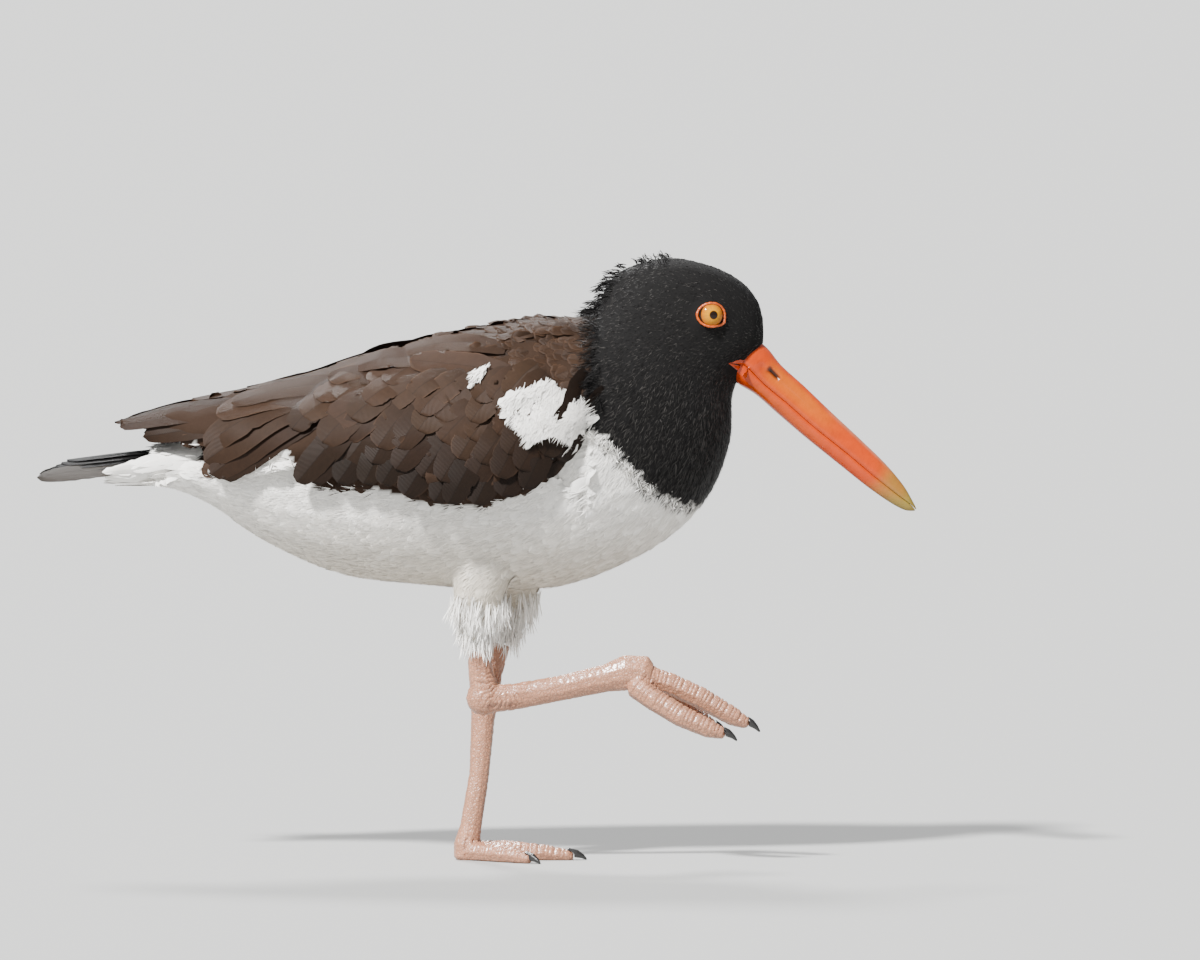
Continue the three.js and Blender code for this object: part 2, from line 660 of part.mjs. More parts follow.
function wing() {
  THREE.MathUtils.seededRandom(SEED);
  const feathers = Object.values(TIERS).flatMap(tier);
  return feathers.reduce((made, feather) => made.add(feather), wingCore()).subtract(wholeGrown);
}
const leftWing = wing();
add("wing_left", "brown", leftWing);
add("wing_right", "brown", solid(flipped(geometryOf(leftWing).scale(1, -1, 1))));

// Tail: a closed fan of feathers in pairs, fused at a short core between their roots.
function tailFeather(pair, side) {
  const step = ([x, z], [byX, byY, byZ]) =>
    new THREE.Vector3(x + byX * pair, side * (TAIL_MIDDLE_Y + byY * pair), z + byZ * pair);
  const [root, tip] = [step(TAIL_ROOT, TAIL_ROOT_STEP), step(TAIL_TIP, TAIL_TIP_STEP)];
  const roll = THREE.MathUtils.degToRad(TAIL_ROLL_DEG * (pair + 0.5));
  const out = new THREE.Vector3(0, side * Math.sin(roll), Math.cos(roll));
  return vane(
    (t) => root.clone().lerp(tip, t),
    () => out,
    TAIL_HALF_WIDTH,
  );
}
function tailCore() {
  const last = TAIL_PAIRS - 1;
  const face = (low) =>
    TAIL_CORE_X.map((x) => {
      const share = (x - TAIL_ROOT[0]) / (TAIL_TIP[0] - TAIL_ROOT[0]);
      const at = (n) => last * THREE.MathUtils.lerp(TAIL_ROOT_STEP[n], TAIL_TIP_STEP[n], share);
      const z = THREE.MathUtils.lerp(TAIL_ROOT[1], TAIL_TIP[1], share) + VANE_RIDGE / 2;
      return [-1, -0.5, 0, 0.5, 1].map(
        (k) => new THREE.Vector3(x, (TAIL_MIDDLE_Y + at(1)) * k, z + at(2) * Math.max(Math.abs(k), low)),
      );
    });
  return slab(face(0), face(1));
}
function tail() {
  let made = tailCore();
  for (const side of [1, -1])
    for (let pair = 0; pair < TAIL_PAIRS; pair++) made = made.add(tailFeather(pair, side));
  return made.subtract(wholeGrown.subtract(tailRoom(0)));
}
add("tail", "black", tail());

// The origin is at the middle of the bounding box, on the floor.
const box = new THREE.Box3().setFromObject(bird);
bird.position.set(-(box.min.x + box.max.x) / 2, -(box.min.y + box.max.y) / 2, -box.min.z);

export default bird;
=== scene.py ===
# An American oystercatcher, dressed: one skin under a coat of feathers, with bill, eyes, legs and claws.
# Places are millimetres in the bird's side view, as in the part: x towards the bill, z up from the floor.
import math
from itertools import product

import bpy
import numpy as np
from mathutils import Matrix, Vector
from mathutils.bvhtree import BVHTree
from mathutils.noise import noise


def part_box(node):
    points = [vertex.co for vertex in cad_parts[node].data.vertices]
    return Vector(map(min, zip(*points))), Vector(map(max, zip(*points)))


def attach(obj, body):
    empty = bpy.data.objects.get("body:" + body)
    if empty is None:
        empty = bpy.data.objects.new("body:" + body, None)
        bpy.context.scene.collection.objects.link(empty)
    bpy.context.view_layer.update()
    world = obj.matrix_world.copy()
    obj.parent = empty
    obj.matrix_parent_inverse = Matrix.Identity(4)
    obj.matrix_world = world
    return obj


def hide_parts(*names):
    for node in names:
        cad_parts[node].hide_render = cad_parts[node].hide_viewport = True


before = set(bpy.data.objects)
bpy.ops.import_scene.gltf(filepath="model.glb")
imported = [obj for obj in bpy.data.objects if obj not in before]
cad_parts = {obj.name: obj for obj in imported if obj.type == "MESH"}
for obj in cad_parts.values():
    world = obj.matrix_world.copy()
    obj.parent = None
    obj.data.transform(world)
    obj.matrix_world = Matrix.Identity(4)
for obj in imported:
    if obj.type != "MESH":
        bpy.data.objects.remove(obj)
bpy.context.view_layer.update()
rng = np.random.default_rng(11)

MM = 0.001
CAMERA_ABOVE_DEG = 3.0
# How much lower a place looks for each millimetre that it lies nearer to the camera
LOOK_DOWN = math.sin(math.radians(CAMERA_ABOVE_DEG))
# The eyeballs' middle in the side view, and how far the dressed eye stands above it
EYE_CENTRE = (93.06, 218.0)
EYE_RAISED = 1.0
EYE_RADIUS = 6.0
eye_low, eye_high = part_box("eye_right")
SHIFT_X = (eye_low[0] + eye_high[0]) / 2 / MM - EYE_CENTRE[0]
EYE_Y = (eye_high[1] + eye_low[1]) / 2 / MM


# Meshes

def to_metres(points):
    moved = np.array(points, dtype=float)
    moved[..., 0] += SHIFT_X
    return moved * MM


def from_metres(points):
    moved = np.array(points, dtype=float) / MM
    moved[..., 0] -= SHIFT_X
    return moved


def placed(name, data):
    obj = bpy.data.objects.new(name, data)
    bpy.context.scene.collection.objects.link(obj)
    return obj


def piece(name, points, quads, look, colours, uvs=None):
    """A mesh object from millimetre points and an array of quads, with colours and UVs for each point.

    A look is a material and the name of a slot; the slot is not used.
    """
    material, slot = look
    points = points.reshape(-1, 3)
    quads = np.asarray(quads, dtype=np.int32)
    mesh = bpy.data.meshes.new(name)
    mesh.vertices.add(len(points))
    mesh.vertices.foreach_set("co", to_metres(points).ravel())
    mesh.loops.add(quads.size)
    mesh.loops.foreach_set("vertex_index", quads.ravel())
    mesh.polygons.add(len(quads))
    mesh.polygons.foreach_set("loop_start", np.arange(len(quads), dtype=np.int32) * quads.shape[1])
    mesh.update(calc_edges=True)
    mesh.validate()
    for key, uv in (uvs or {}).items():
        layer = mesh.uv_layers.new(name=key)
        layer.data.foreach_set("uv", uv[quads.ravel()].astype(np.float32).ravel())
    rgba = np.ones((len(points), 4), dtype=np.float32)
    rgba[:, :3] = colours.reshape(-1, 3)
    mesh.attributes.new("coat", "FLOAT_COLOR", "POINT").data.foreach_set("color", rgba.ravel())
    mesh.shade_smooth()
    mesh.materials.append(material)
    obj = placed(name, mesh)
    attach(obj, "root")
    return obj


def grid_quads(rows, columns, closed=False):
    """Quads of a grid of points; a closed one joins its last column to its first."""
    across = columns if closed else columns - 1
    i, j = np.meshgrid(np.arange(rows - 1), np.arange(across), indexing="ij")
    after = (j + 1) % columns
    corners = [i * columns + j, i * columns + after, (i + 1) * columns + after, (i + 1) * columns + j]
    return np.stack(corners, axis=-1).reshape(-1, 4)


def face_crosses(points, faces):
    """The normals of triangles or quads, each as long as twice its face's area."""
    c = points[faces]
    return np.cross(c[:, -2] - c[:, 0], c[:, -1] - c[:, -3])


def point_normals(points, faces):
    normals = np.zeros_like(points)
    crosses = face_crosses(points, faces)
    for corner in range(faces.shape[1]):
        np.add.at(normals, faces[:, corner], crosses)
    return unit(normals)


# Numbers and curves

def unit(vectors):
    return vectors / np.maximum(np.linalg.norm(vectors, axis=-1, keepdims=True), 1e-9)


def smooth_step(low, high, values):
    t = np.clip((values - low) / (high - low), 0, 1)
    return t * t * (3 - 2 * t)


def blend(first, second, share):
    return first * (1 - share) + second * share


def bell(values, width):
    return np.exp(-((values / width) ** 2))


def vary(count, share):
    """Random factors that reach the given share above and below 1."""
    return 1 + share * (2 * rng.random(count) - 1)


def scattered(*shape):
    return rng.standard_normal(shape)


def noise_at(points, scale, seed=0):
    return np.array([noise(Vector(p) * scale + Vector((seed, 0, 0))) for p in points.tolist()])


def table_at(table, x, *columns):
    """Some columns of a table at places x between its rows; its first column holds the rows' own x."""
    return [np.interp(x, table[:, 0], table[:, k]) for k in columns]


def polyline_at(line, shares):
    lengths = np.concatenate([[0], np.cumsum(np.linalg.norm(np.diff(line, axis=0), axis=1))])
    where = shares * lengths[-1]
    return np.stack([np.interp(where, lengths, line[:, k]) for k in (0, 1)], axis=1)


def along_line(points, line):
    """Each point's nearest place on a line: how far along it, the offset from there, the line's direction."""
    nearest_gap = np.full(len(points), np.inf)
    far, off, ways = np.zeros(len(points)), np.zeros_like(points), np.zeros_like(points)
    walked = 0.0
    for a, b in zip(line[:-1], line[1:]):
        length = np.linalg.norm(b - a)
        way = (b - a) / length
        t = np.clip((points - a) @ way, 0, length)
        from_line = points - a - t[:, None] * way
        gap = np.linalg.norm(from_line, axis=1)
        near = gap < nearest_gap
        far[near] = walked + t[near]
        off[near], ways[near], nearest_gap[near] = from_line[near], way, gap[near]
        walked += length
    return far, off, ways


def spline_weights(count, at):
    """Weights that run a Catmull-Rom curve through count points, at shares 0 to 1 of its way."""
    weights = np.zeros((len(at), count))
    for row, share in enumerate(at):
        place = min(share * (count - 1), count - 1 - 1e-9)
        i, t = int(place), place - int(place)
        ways = (-t + 2 * t**2 - t**3, 2 - 5 * t**2 + 3 * t**3, t + 4 * t**2 - 3 * t**3, -(t**2) + t**3)
        for step, way in zip((-1, 0, 1, 2), ways):
            weights[row, min(max(i + step, 0), count - 1)] += way / 2
    return weights


def inside(points, polygon):
    """Which points of the side view lie inside a polygon."""
    x, z = points[:, 0], points[:, -1]
    found = np.zeros(len(points), dtype=bool)
    for (ax, az), (bx, bz) in zip(polygon, np.roll(polygon, -1, axis=0)):
        crosses = (az > z) != (bz > z)
        reach = (bx - ax) * (z - az) / np.where(abs(bz - az) < 1e-9, 1e-9, bz - az) + ax
        found ^= crosses & (x < reach)
    return found


# Materials

def shader(name, **sockets):
    material = bpy.data.materials.new(name)
    material.use_nodes = True
    tree = material.node_tree
    out = tree.nodes["Principled BSDF"]
    for key, value in sockets.items():
        out.inputs[key.replace("_", " ")].default_value = value
    return material, tree, out


def node(tree, kind, **values):
    made = tree.nodes.new(kind)
    for key, value in values.items():
        if key in made.inputs:
            made.inputs[key].default_value = value
        else:
            setattr(made, key, value)
    return made


def math_node(tree, operation, *values):
    made = node(tree, "ShaderNodeMath", operation=operation)
    for socket, value in zip(made.inputs, values):
        if isinstance(value, (int, float)):
            socket.default_value = value
        else:
            tree.links.new(value, socket)
    return made.outputs[0]


def times_plus(tree, value, factor, plus):
    return math_node(tree, "ADD", math_node(tree, "MULTIPLY", value, factor), plus)


def texture(tree, kind, **values):
    """A texture that sticks to the surface, by its place."""
    place = node(tree, "ShaderNodeNewGeometry")
    made = node(tree, kind, **values)
    tree.links.new(place.outputs["Position"], made.inputs["Vector"])
    return made.outputs[0]


def tint(tree, out, tone=None):
    """Gives the surface its colour by point, times a tone where there is one."""
    colour = node(tree, "ShaderNodeAttribute", attribute_name="coat").outputs["Color"]
    if tone is not None:
        shade = node(tree, "ShaderNodeVectorMath", operation="SCALE")
        tree.links.new(colour, shade.inputs[0])
        tree.links.new(tone, shade.inputs["Scale"])
        colour = shade.outputs[0]
    tree.links.new(colour, out.inputs["Base Color"])


def bump(tree, out, height, strength, distance):
    made = node(tree, "ShaderNodeBump", Strength=strength, Distance=distance * MM)
    tree.links.new(height, made.inputs["Height"])
    tree.links.new(made.outputs["Normal"], out.inputs["Normal"])


def feather_material(name, roughness, sheen, barb_mm, strength, mottle, shaft=0.0):
    """A feather's vane: colour by point, barbs that run out from a darker shaft, faint mottling."""
    material, tree, out = shader(
        name, Roughness=roughness, Sheen_Weight=sheen, Sheen_Roughness=0.4, Specular_IOR_Level=0.12,
    )
    vane = node(tree, "ShaderNodeUVMap", uv_map="vane")
    split = node(tree, "ShaderNodeSeparateXYZ")
    tree.links.new(vane.outputs[0], split.inputs[0])
    off_shaft = math_node(tree, "ABSOLUTE", split.outputs[0])
    along = math_node(tree, "SUBTRACT", split.outputs[1], math_node(tree, "MULTIPLY", off_shaft, 0.9))
    barbs = math_node(tree, "SINE", math_node(tree, "MULTIPLY", along, 2 * math.pi / barb_mm))
    patches = texture(tree, "ShaderNodeTexNoise", Scale=420.0, Detail=4.0, Roughness=0.6)
    beside_shaft = math_node(tree, "MINIMUM", math_node(tree, "MULTIPLY", off_shaft, 2.5), 1.0)
    tone = times_plus(tree, patches, mottle, 1 - mottle / 2)
    tone = math_node(tree, "MULTIPLY", tone, times_plus(tree, barbs, 0.1, 0.95))
    tone = math_node(tree, "MULTIPLY", tone, times_plus(tree, beside_shaft, shaft, 1 - shaft))
    tint(tree, out, tone)
    bump(tree, out, barbs, strength, 0.25)
    return material


def coat_material(name, roughness, sheen):
    """Fine barbs and the skin under them: colour by point with faint noise."""
    material, tree, out = shader(
        name, Roughness=roughness, Sheen_Weight=sheen, Sheen_Roughness=0.4, Specular_IOR_Level=0.15,
    )
    patches = texture(tree, "ShaderNodeTexNoise", Scale=900.0, Detail=3.0)
    tint(tree, out, times_plus(tree, patches, 0.3, 0.85))
    bump(tree, out, patches, 0.25, 0.3)
    return material


def horn_material(name, roughness, coat, scuffing=0.35, **sockets):
    """Horn, bare skin or an eye's surface: colour by point under a gloss, with fine scuffs."""
    gloss = {"Coat_Roughness": 0.12, **sockets}
    material, tree, out = shader(name, Roughness=roughness, Coat_Weight=coat, **gloss)
    tint(tree, out)
    scuffs = texture(tree, "ShaderNodeTexNoise", Scale=700.0, Detail=6.0, Roughness=0.65)
    bump(tree, out, scuffs, scuffing, 0.35)
    return material


def scale_material(name):
    """Small rounded scales on pale skin, with a wet gloss."""
    material, tree, out = shader(
        name, Roughness=0.42, Coat_Weight=0.3, Coat_Roughness=0.16, Subsurface_Weight=0.12,
        Subsurface_Radius=(0.003, 0.001, 0.0006),
    )
    cells = texture(tree, "ShaderNodeTexVoronoi", Scale=800.0, feature="DISTANCE_TO_EDGE")
    rounded = math_node(tree, "MINIMUM", math_node(tree, "MULTIPLY", cells, 5.0), 1.0)
    # Painted shade: the skin darker along the edges between the scales.
    tint(tree, out, times_plus(tree, rounded, 0.28, 0.76))
    bump(tree, out, rounded, 0.5, 0.25)
    return material


vane_material = feather_material("wing_vane", 0.55, 0.02, 0.6, 0.3, 0.5, shaft=0.3)
BROWN_VANE = (vane_material, "brown_feather")
TAIL_VANE = (vane_material, "black_feather")
WHITE_VANE = (feather_material("white_vane", 0.8, 0.1, 0.5, 0.35, 0.06), "white_feather")
BLACK_VANE = (feather_material("black_vane", 0.7, 0.02, 0.45, 0.5, 0.1), "black_feather")
WHITE_BARB = (coat_material("white_barb", 0.75, 0.1), "white_feather")
BLACK_BARB = (coat_material("black_barb", 0.5, 0.08), "black_feather")
BODY_SKIN = (coat_material("skin", 0.85, 0.0), "white_feather")
BILL_HORN = (horn_material("bill_horn", 0.3, 0.5, Specular_IOR_Level=0.15), "bill")
eye_material = horn_material(
    "eye_surface", 0.4, 0.6, scuffing=0.02, Coat_Roughness=0.1, Coat_IOR=1.4, Specular_IOR_Level=0.0,
)
EYE_SURFACE = (eye_material, "eye")
RING_FLESH = (horn_material("eye_ring_flesh", 0.38, 0.2), "eye")
LEG_SKIN = (scale_material("leg_scales"), "leg_skin")
CLAW_HORN = (horn_material("claw_horn", 0.35, 0.3), "claw")


# The markings, as colours by place

BLACK = np.array([0.0058, 0.0053, 0.0052])
BROWN = np.array([0.0275, 0.0142, 0.0078])
WHITE = np.array([0.90, 0.878, 0.835])
# Painted shade: what the white loses low on the belly
BELLY_PAINTED_SHADE = np.array([0.32, 0.37, 0.45])
BELLY_LOW, BELLY_HIGH = 106, 150
THIGH_TOP = 100
# The black hood's edge in the side view, from the back down to the front of the breast
HOOD_EDGE = np.array([
    [44.0, 240], [46, 221], [46, 205], [44.5, 192], [42, 183], [40.5, 177.5], [44.5, 173.5], [51.5, 169.2],
    [56, 164.8], [62.5, 157.6], [68, 151.5], [74.5, 147.6], [80, 144.5], [86, 142.8], [95, 142.5], [120, 142],
])
# The brown of back and wings ends at this line, from the rump to the shoulder.
BROWN_EDGE = np.array([
    [-150.0, 168], [-112, 167], [-109, 158], [-103, 151.8], [-94, 155.6], [-84, 161.5], [-76, 165],
    [-71, 158], [-68, 152], [-61, 148.4], [-37, 148.8], [-18, 142.8], [4, 142], [15, 145], [24, 150],
    [34, 156], [33, 163], [38, 170],
])
SHOULDER_PATCH = np.array([
    [12.4, 184], [25.2, 188.8], [26.8, 190], [32, 187.4], [36.4, 184.8], [41.2, 182], [44, 176], [38, 169.5],
    [31.2, 170], [30.6, 172], [22.8, 168.4], [20, 170], [13.2, 176],
])
BACK_SPOT = np.array([[-2.4, 192.8], [5.4, 195.2], [-1.6, 188]])
# Both areas close well outside the bird; they share the hood's edge from the back to the shoulder.
HOOD = np.vstack([HOOD_EDGE, [[200, 142], [200, 260], [44, 260]]])
BROWN_AREA = np.vstack([BROWN_EDGE, HOOD_EDGE[5:0:-1], [[44, 260], [-180, 260], [-180, 166]]])
IS_WHITE, IS_BLACK, IS_BROWN = range(3)


def marking(points):
    """The kind of coat at each point, with edges that waver a little."""
    x, y, z = points.T
    waver_x = 1.1 * np.sin(1.1 * z + 0.7 * y) + 0.8 * np.sin(2.7 * z + 1.3 * y)
    waver_z = 0.7 * np.sin(1.3 * x) - LOOK_DOWN * abs(y)
    points = points + np.stack([waver_x, 0 * y, waver_z], axis=1)
    kind = np.full(len(points), IS_WHITE)
    kind[inside(points, BROWN_AREA)] = IS_BROWN
    kind[inside(points, SHOULDER_PATCH) | inside(points, BACK_SPOT)] = IS_WHITE
    kind[inside(points, HOOD)] = IS_BLACK
    return kind


def base_colours(points):
    """Feather colours by place, with painted shade that makes the white greyer and warmer low on the belly."""
    kinds = marking(points)
    colours = np.stack([WHITE, BLACK, BROWN])[kinds]
    belly = (1 - smooth_step(BELLY_LOW, BELLY_HIGH, points[:, 2])) * (kinds == IS_WHITE)
    belly = belly * (points[:, 2] > THIGH_TOP)
    return colours * (1 - belly[:, None] * BELLY_PAINTED_SHADE)


# The wings' outer form

# As the part has it, from the tip to the shoulder: x, top, lower edge, half width
WING_FORM = np.array([
    [-144, 176.5, 173.5, 12], [-130, 181, 170, 19], [-108, 186.5, 163, 29], [-86, 191, 157, 37],
    [-66, 196.5, 155, 42], [-42, 205, 151, 46], [-18, 212, 146, 48.5], [4, 217.5, 145, 48.5],
    [26, 221, 153, 46.5], [41, 219.5, 171, 42.2], [49.0, 213, 195, 33],
])
slopes = [np.gradient(WING_FORM[:, k], WING_FORM[:, 0]) for k in (1, 3)]
WING_FORM = np.column_stack([WING_FORM, *slopes])
WING_LOW_DEG = 105
# The skin's lower edge is tucked in under the feathers that hang over it, as far as the shoulder.
EDGE_THICK, EDGE_TUCK = 4.5, 2.6
EDGE_INNER, EDGE_FRONT = 12, 44


def wing_form(flat, side):
    """The wing form's places and outward normals at x, z of the side view."""
    x, z = flat.T
    top, low, half, rising, widening = table_at(WING_FORM, x, 1, 2, 3, 4, 5)
    high = (top - low) / (1 - math.cos(math.radians(WING_LOW_DEG)))
    cosine = np.clip((z - top + high) / high, 0.0, 0.995)
    sine = np.sqrt(1 - cosine**2)
    places = np.stack([x, side * half * sine, np.minimum(z, top)], axis=1)
    out = unit(np.stack([np.zeros(len(x)), side * sine / half, cosine / high], axis=1))
    out[:, 0] = -widening * sine - rising * cosine
    return places, unit(out)


def tuck_wing_edge(points):
    x, y, z = points.T
    low = table_at(WING_FORM, x, 2)[0]
    form, _ = wing_form(points[:, [0, 2]], 1)
    outer = (abs(y) > form[:, 1] - EDGE_THICK) & (abs(y) > EDGE_INNER) & (x < EDGE_FRONT)
    share = outer * (1 - smooth_step(4, 13, z - low))
    points[:, 1] -= np.sign(y) * EDGE_TUCK * share


# The skin

SKIN_NODES = ["head", "neck", "torso", "undertail", "thigh_left", "thigh_right", "wing_left", "wing_right"]
SKIN_DEPTH = 1.2
SKIN_VOXEL = 1.5
# Nodes grow by this much before they merge, and shrink by it afterwards.
BRIDGE = 0.3
# The middle line of the body, from the tail's end to the face, for the unwrap
SPINE = np.array([
    [-175.0, 156], [-149, 155], [-108, 156], [-60, 158], [-10, 162], [40, 168], [70, 185], [84, 215],
    [112, 212],
])


def merged_nodes(names, grow, voxel, smoothing, shrink):
    """One closed surface over some nodes: each grown to bridge the gaps, remeshed, smoothed, shrunk."""
    points, faces, count = [], [], 0
    for name in names:
        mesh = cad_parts[name].data
        co = np.empty(len(mesh.vertices) * 3)
        mesh.vertices.foreach_get("co", co)
        mesh.calc_loop_triangles()
        tri = np.empty(len(mesh.loop_triangles) * 3, dtype=np.int32)
        mesh.loop_triangles.foreach_get("vertices", tri)
        co, tri = co.reshape(-1, 3), tri.reshape(-1, 3)
        _, first, same = np.unique(np.round(co, 6), axis=0, return_index=True, return_inverse=True)
        tri = same.reshape(-1)[tri]
        co = co[first]
        points.append(co + point_normals(co, tri) * grow * MM)
        faces.append(tri + count)
        count += len(co)
    mesh = bpy.data.meshes.new("merge")
    mesh.from_pydata(np.vstack(points).tolist(), [], np.vstack(faces).tolist())
    obj = placed("merge", mesh)
    remesh = obj.modifiers.new("remesh", "REMESH")
    remesh.mode = "VOXEL"
    remesh.voxel_size = voxel * MM
    smooth = obj.modifiers.new("smooth", "SMOOTH")
    smooth.factor = 0.5
    smooth.iterations = smoothing
    shrunk = obj.modifiers.new("shrink", "DISPLACE")
    shrunk.strength = -shrink * MM
    shrunk.mid_level = 0
    made = bpy.data.meshes.new_from_object(obj.evaluated_get(bpy.context.evaluated_depsgraph_get()))
    bpy.data.objects.remove(obj)
    co = np.empty(len(made.vertices) * 3)
    made.vertices.foreach_get("co", co)
    quads = np.array([p.vertices[:] for p in made.polygons if len(p.vertices) == 4])
    bpy.data.meshes.remove(made)
    return from_metres(co.reshape(-1, 3)), quads


def unwrap(points):
    """The place of points on the skin's own unwrap: how far along the spine, and the turn round it."""
    far, off, ways = along_line(points[:, [0, 2]], SPINE)
    above = off[:, 1] * ways[:, 0] - off[:, 0] * ways[:, 1]
    whole = np.linalg.norm(np.diff(SPINE, axis=0), axis=1).sum()
    round_it = np.arctan2(points[:, 1], above) / (2 * math.pi) + 0.5
    return 0.01 + 0.98 * np.stack([far / whole, round_it], axis=1)


skin_points, skin_quads = merged_nodes(
    SKIN_NODES + ["eye_left", "eye_right"], BRIDGE, SKIN_VOXEL, 6, SKIN_DEPTH + BRIDGE,
)
tuck_wing_edge(skin_points)
skin = piece(
    "body_skin", skin_points, skin_quads, BODY_SKIN, base_colours(skin_points) * 0.8,
    uvs={"OFBake": unwrap(skin_points)},
)
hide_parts(*SKIN_NODES)
skin_tree = BVHTree.FromPolygons(skin_points.tolist(), skin_quads.tolist())


def nearest(points):
    """The nearest places on the skin, and the skin's normals there."""
    found = [skin_tree.find_nearest(Vector(p)) for p in points.tolist()]
    return np.array([f[0][:] for f in found]), np.array([f[1][:] for f in found])


def beside(flat, side):
    """The skin's outer face at places x, z of the side view, on one side; a miss takes the nearest skin."""
    places, normals = [], []
    for x, z in flat:
        hit, normal, _, _ = skin_tree.ray_cast(Vector((x, side * 200, z)), Vector((0, -side, 0)))
        if hit is None:
            hit, normal, _, _ = skin_tree.find_nearest(Vector((x, side * 30, z)))
            hit = Vector((x, hit.y, z))
            normal = Vector((0, side, 0))
        places.append(hit[:])
        normals.append(normal[:])
    return np.array(places), np.array(normals)


# The lie of the coat: x, z of places in the side view and the direction there, blended by nearness
LIE = np.array([
    [114.0, 222, -0.4, 0.9], [104, 236, -0.85, 0.5], [88, 242, -1, 0], [68, 240, -1, -0.35],
    [54, 232, -0.75, -0.65], [108, 210, -0.9, 0.3], [92, 208, -1, -0.1], [76, 220, -0.9, -0.4],
    [110, 198, -0.7, -0.6], [102, 180, -0.25, -1], [80, 195, -0.55, -0.85], [58, 205, -0.75, -0.65],
    [98, 155, -0.45, -0.9], [68, 168, -0.55, -0.8], [48, 190, -0.85, -0.5], [85, 132, -0.75, -0.6],
    [60, 117, -0.95, -0.25], [45, 145, -0.85, -0.5], [20, 108, -1, 0], [0, 135, -1, -0.15],
    [-50, 112, -1, 0.12], [-60, 138, -1, 0.05], [-95, 138, -0.95, 0.3], [-130, 152, -1, 0.08],
    [40, 214, -1, -0.1], [10, 212, -1, -0.2], [-30, 203, -1, -0.25], [-80, 185, -1, -0.2],
    [-110, 170, -1, -0.15], [1, 95, -0.1, -1], [15, 100, -0.2, -1],
])


def lie(points, normals):
    """The direction of the coat at points of the skin, along its surface."""
    gaps = np.linalg.norm(points[:, None, [0, 2]] - LIE[None, :, :2], axis=2)
    weights = 1 / (gaps + 4) ** 3
    way = (weights[:, :, None] * LIE[None, :, 2:]).sum(axis=1)
    way = np.stack([way[:, 0], np.zeros(len(points)), way[:, 1]], axis=1)
    way -= (way * normals).sum(axis=1, keepdims=True) * normals
    return unit(way)


def turned(way, normals, angles):
    """Directions turned about their normals."""
    side = np.cross(normals, way)
    return way * np.cos(angles)[:, None] + side * np.sin(angles)[:, None]


# Roots spread over the skin

skin_crosses = face_crosses(skin_points, skin_quads)
face_areas = np.linalg.norm(skin_crosses, axis=1) / 2
face_normals = unit(skin_crosses)
corners = skin_points[skin_quads]
face_middles = corners.mean(axis=1)
CELLS_AROUND = list(product((-1, 0, 1), repeat=3))
# More roots are tried than fit, and two may come a little nearer than the spacing.
TRIED, NEAR_SHARE = 2.2, 0.7


def scatter(where, spacing):
    """Random roots on the skin's faces that where() picks, none much nearer to another than the spacing."""
    chosen = np.flatnonzero(where(face_middles, face_normals))
    areas = face_areas[chosen]
    count = int(areas.sum() / spacing**2 * TRIED)
    faces = chosen[rng.choice(len(chosen), size=count, p=areas / areas.sum())]
    a, b = rng.random((2, count, 1))
    c = corners[faces]
    places = blend(blend(c[:, 0], c[:, 1], a), blend(c[:, 3], c[:, 2], a), b)
    near = spacing**2 * NEAR_SHARE
    cells, kept = {}, []
    for number, (x, y, z) in enumerate(places.tolist()):
        i, j, k = int(x // spacing), int(y // spacing), int(z // spacing)
        others = (q for di, dj, dk in CELLS_AROUND for q in cells.get((i + di, j + dj, k + dk), ()))
        if all((x - q[0]) ** 2 + (y - q[1]) ** 2 + (z - q[2]) ** 2 >= near for q in others):
            cells.setdefault((i, j, k), []).append((x, y, z))
            kept.append(number)
    return places[kept], face_normals[faces[kept]]


# Feathers and barbs as sheets

def vane_width(u, tip, root=0.45):
    """A feather's half width along it, from 0 to 1: narrow at the root, rounded from the share tip on."""
    grow = root + (1 - root) * np.clip(u / 0.35, 0, 1) ** 0.7
    end = np.clip((u - tip) / (1 - tip), 0, 1)
    return grow * np.sqrt(np.maximum(1 - end**2.2, 0))


def for_each(values, count):
    return np.broadcast_to(np.asarray(values, dtype=float), (count,))[:, None]


def sheets(paths, normals, half_width, rows, columns, tip, lift=(0, 0), camber=0.0, roll=0.0, ragged=0.0):
    """Points, quads, vane UVs and (share along, share across) of feathers over their paths of points."""
    count = len(paths)
    u = np.linspace(0, 1, rows) ** 0.85
    v = np.sin(np.linspace(-1, 1, columns) * math.pi / 2)
    weights = spline_weights(paths.shape[1], u)
    middle = np.einsum("rk,nkc->nrc", weights, paths)
    out = unit(np.einsum("rk,nkc->nrc", weights, normals))
    along = unit(np.gradient(middle, axis=1))
    across = unit(np.cross(along, out))
    up = np.cross(across, along)
    root_lift, tip_lift = (for_each(values, count) for values in lift)
    raise_by = root_lift + (tip_lift - root_lift) * u[None] ** 1.2
    half = for_each(half_width, count)
    wide = half * vane_width(u, tip)[None] * (1 + ragged * scattered(count, rows))
    edge = 1 + ragged * scattered(count, rows, columns) * (abs(v) > 0.9)
    reach = wide[:, :, None] * v * edge
    bend = -camber * half[:, :, None] * v**2 * 2 + roll * v
    points = middle[:, :, None] + across[:, :, None] * reach[..., None]
    points = points + up[:, :, None] * (raise_by[:, :, None] + bend)[..., None]
    lengths = np.linalg.norm(np.diff(middle, axis=1), axis=2).sum(axis=1)
    flat = np.stack([reach, np.broadcast_to((u[None] * lengths[:, None])[..., None], reach.shape)], axis=-1)
    quads = grid_quads(rows, columns)[None] + (np.arange(count) * rows * columns)[:, None, None]
    shares = np.stack(np.broadcast_arrays(u[:, None], v), axis=-1)
    shares = np.broadcast_to(shares, (count, rows, columns, 2))
    return points.reshape(-1, 3), quads.reshape(-1, 4), flat.reshape(-1, 2), shares


